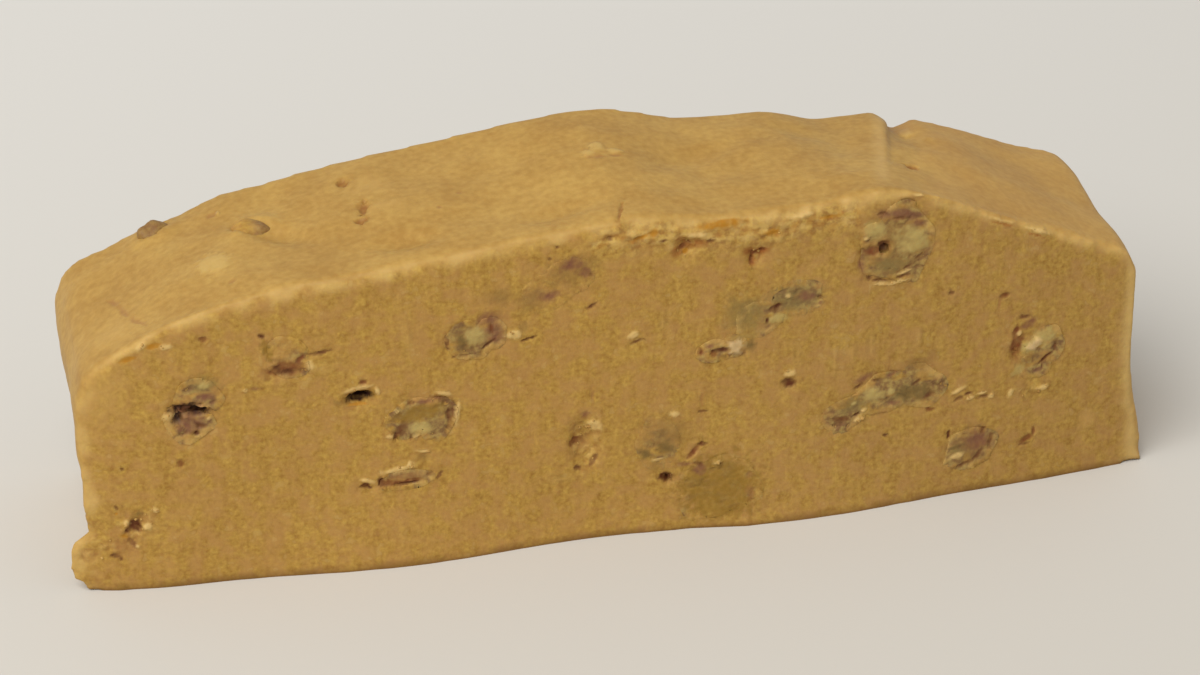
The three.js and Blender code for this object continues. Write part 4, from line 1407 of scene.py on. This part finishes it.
skin_colour = add_node(tree, "ShaderNodeMix", {
    0: skin_range.outputs[0], MIX_A: linear4("#a37b38"), MIX_B: linear4("#b8924a")}, data_type="RGBA")
plain = add_node(tree, "ShaderNodeMix", {
    0: skin_mask, MIX_A: cut_colour.outputs[MIX_COLOUR], MIX_B: skin_colour.outputs[MIX_COLOUR],
}, data_type="RGBA")
grit = add_node(tree, "ShaderNodeTexNoise", {"Vector": where, "Scale": per_metre(0.75), "Detail": 3.0})
grit_share = add_node(tree, "ShaderNodeMapRange", {
    "Value": grit.outputs[0], "From Min": 0.4, "From Max": 0.6})
grit_colour = add_node(tree, "ShaderNodeMix", {
    0: grit_share.outputs[0], MIX_A: linear4("#845c27"), MIX_B: linear4("#c5a24e")}, data_type="RGBA")
gritty = add_node(tree, "ShaderNodeMix", {
    0: grit_mask, MIX_A: plain.outputs[MIX_COLOUR], MIX_B: grit_colour.outputs[MIX_COLOUR]}, data_type="RGBA")
stained = add_node(tree, "ShaderNodeMix", {
    0: stain.outputs["Alpha"], MIX_A: gritty.outputs[MIX_COLOUR], MIX_B: stain.outputs["Color"],
}, data_type="RGBA")
tree.links.new(stained.outputs[MIX_COLOUR], shader.inputs["Base Color"])
gloss = add_node(tree, "ShaderNodeMapRange", {"Value": skin_mask, "To Min": 0.75, "To Max": 0.55})
tree.links.new(gloss.outputs[0], shader.inputs["Roughness"])
fine = add_node(tree, "ShaderNodeTexNoise", {"Vector": where, "Scale": per_metre(0.45), "Detail": 2.0})
bump_strength = add_node(tree, "ShaderNodeMapRange", {"Value": skin_mask, "To Min": 0.45, "To Max": 0.25})
bump = add_node(tree, "ShaderNodeBump", {
    "Height": fine.outputs[0], "Strength": bump_strength.outputs[0], "Distance": 0.12 * MM})
tree.links.new(bump.outputs[0], shader.inputs["Normal"])
let_light_in(shader)
slice_body.data.materials.append(fudge_material)
print("material:", fudge_material.name)

# %% [markdown]
# A crumb shows the inside of the fudge, freshly torn, so it is a little paler and duller than the cut.

# %% Torn fudge crumb
crumb_material, tree, shader = new_material("torn_fudge_crumb")
where = add_node(tree, "ShaderNodeTexCoord", {}).outputs["Object"]
grain = add_node(tree, "ShaderNodeTexNoise", {"Vector": where, "Scale": per_metre(0.8), "Detail": 2.0})
crumb_share = add_node(tree, "ShaderNodeMapRange", {
    "Value": grain.outputs[0], "From Min": 0.35, "From Max": 0.65})
crumb_colour = add_node(tree, "ShaderNodeMix", {
    0: crumb_share.outputs[0], MIX_A: linear4("#9f7636"), MIX_B: linear4("#bf9954")}, data_type="RGBA")
tree.links.new(crumb_colour.outputs[MIX_COLOUR], shader.inputs["Base Color"])
shader.inputs["Roughness"].default_value = 0.85
crumbs.data.materials.append(crumb_material)
print("material:", crumb_material.name)

# %% [markdown]
# Walnut kernel, sliced: oily grey-green to tan flesh, with the thin brown skin showing as a line along the
# rim and in the creases, and the film of fudge over parts of it. It is a little glossier than the fudge.

# %% Walnut kernel, sliced
walnut_material, tree, shader = new_material("walnut_kernel")
where = add_node(tree, "ShaderNodeTexCoord", {}).outputs["Object"]
crease = add_node(tree, "ShaderNodeAttribute", {}, attribute_name="crease").outputs["Fac"]
film = add_node(tree, "ShaderNodeAttribute", {}, attribute_name="film").outputs["Fac"]
stain = add_node(tree, "ShaderNodeAttribute", {}, attribute_name="stain")
mottle = add_node(tree, "ShaderNodeTexNoise", {"Vector": where, "Scale": per_metre(0.8), "Detail": 5.0})
flesh_share = add_node(tree, "ShaderNodeMapRange", {
    "Value": mottle.outputs[0], "From Min": 0.38, "From Max": 0.62})
flesh = add_node(tree, "ShaderNodeMix", {
    0: flesh_share.outputs[0], MIX_A: linear4("#7c5a34"), MIX_B: linear4("#a4884a")}, data_type="RGBA")
skinned = add_node(tree, "ShaderNodeMix", {
    0: crease, MIX_A: flesh.outputs[MIX_COLOUR], MIX_B: linear4("#6e4726")}, data_type="RGBA")
filmed = add_node(tree, "ShaderNodeMix", {
    0: film, MIX_A: skinned.outputs[MIX_COLOUR], MIX_B: cut_fudge_colour(tree, where).outputs[MIX_COLOUR],
}, data_type="RGBA")
stained = add_node(tree, "ShaderNodeMix", {
    0: stain.outputs["Alpha"], MIX_A: filmed.outputs[MIX_COLOUR], MIX_B: stain.outputs["Color"],
}, data_type="RGBA")
tree.links.new(stained.outputs[MIX_COLOUR], shader.inputs["Base Color"])
gloss = add_node(tree, "ShaderNodeMapRange", {"Value": film, "To Min": 0.55, "To Max": 0.75})
tree.links.new(gloss.outputs[0], shader.inputs["Roughness"])
fine = add_node(tree, "ShaderNodeTexNoise", {"Vector": where, "Scale": per_metre(0.45), "Detail": 2.0})
bump = add_node(tree, "ShaderNodeBump", {"Height": fine.outputs[0], "Strength": 0.55, "Distance": 0.12 * MM})
tree.links.new(bump.outputs[0], shader.inputs["Normal"])
let_light_in(shader)
for piece in walnuts.values():
    piece.data.materials.append(walnut_material)
print("material:", walnut_material.name)

# %% [markdown]
# Every piece is shaded smooth except over its sharp edges, so that no shade rims a walnut's sliced face. It
# rides on the one body of the slice, and the solid it stands for is hidden.

# %% Smooth shading, bodies and hidden solids
SHARP_EDGE = math.radians(60)
for piece in [slice_body, crumbs, *walnuts.values()]:
    select_only(piece)
    bpy.ops.object.shade_smooth_by_angle(angle=SHARP_EDGE)
    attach(piece, "root")
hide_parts("fudge")
for node_name, piece in walnuts.items():
    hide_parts(node_name)

# %% [markdown]
# The slice stands on a pale sheet whose colour is painted lighter and a little cooler towards the back:
# painted light, standing in for the brighter far part of the sheet. A large soft lamp high on the viewer's
# left lights the top, the left end and the front cut, and an even surround fills the rest, so the shadow on
# the right stays faint.

# %% Floor and light
SHEET_SIZE = 4.0
SHEET_LIGHTENS = (-0.12, 0.35)
bpy.ops.object.select_all(action="DESELECT")
bpy.ops.mesh.primitive_plane_add(size=SHEET_SIZE)
floor = bpy.context.object
floor.name = "pale_sheet"
floor_material, tree, shader = new_material("matt_paper_sheet")
where = add_node(tree, "ShaderNodeTexCoord", {}).outputs["Object"]
along = add_node(tree, "ShaderNodeSeparateXYZ", {"Vector": where})
# Painted light: the sheet goes from darker at the front to lighter and a little cooler at the back.
share = add_node(tree, "ShaderNodeMapRange", {
    "Value": along.outputs["Y"], "From Min": SHEET_LIGHTENS[0], "From Max": SHEET_LIGHTENS[1]})
sheet = add_node(tree, "ShaderNodeMix", {
    0: share.outputs[0], MIX_A: linear4("#c6c1b7"), MIX_B: linear4("#e2e0db")}, data_type="RGBA")
tree.links.new(sheet.outputs[MIX_COLOUR], shader.inputs["Base Color"])
shader.inputs["Roughness"].default_value = 0.9
floor.data.materials.append(floor_material)

LAMP_PLACE = Vector((-0.6, -0.58, 1.0))
LAMP_AIM = Vector((0, 0, 0.02))
LAMP_SIZE = 1.0
LAMP_WATTS = 15.5
SURROUND_COLOUR = (1.0, 0.98, 0.95, 1)
SURROUND_STRENGTH = 0.53
bpy.ops.object.light_add(
    type="AREA", location=LAMP_PLACE, rotation=(LAMP_AIM - LAMP_PLACE).to_track_quat("-Z", "Y").to_euler())
lamp = bpy.context.object
lamp.data.size = LAMP_SIZE
lamp.data.energy = LAMP_WATTS

world = bpy.data.worlds.new("soft_surround")
bpy.context.scene.world = world
world.use_nodes = True
background = world.node_tree.nodes["Background"]
background.inputs["Color"].default_value = SURROUND_COLOUR
background.inputs["Strength"].default_value = SURROUND_STRENGTH
bpy.context.scene.view_settings.view_transform = "Standard"
print("light:", lamp.data.energy, "W")
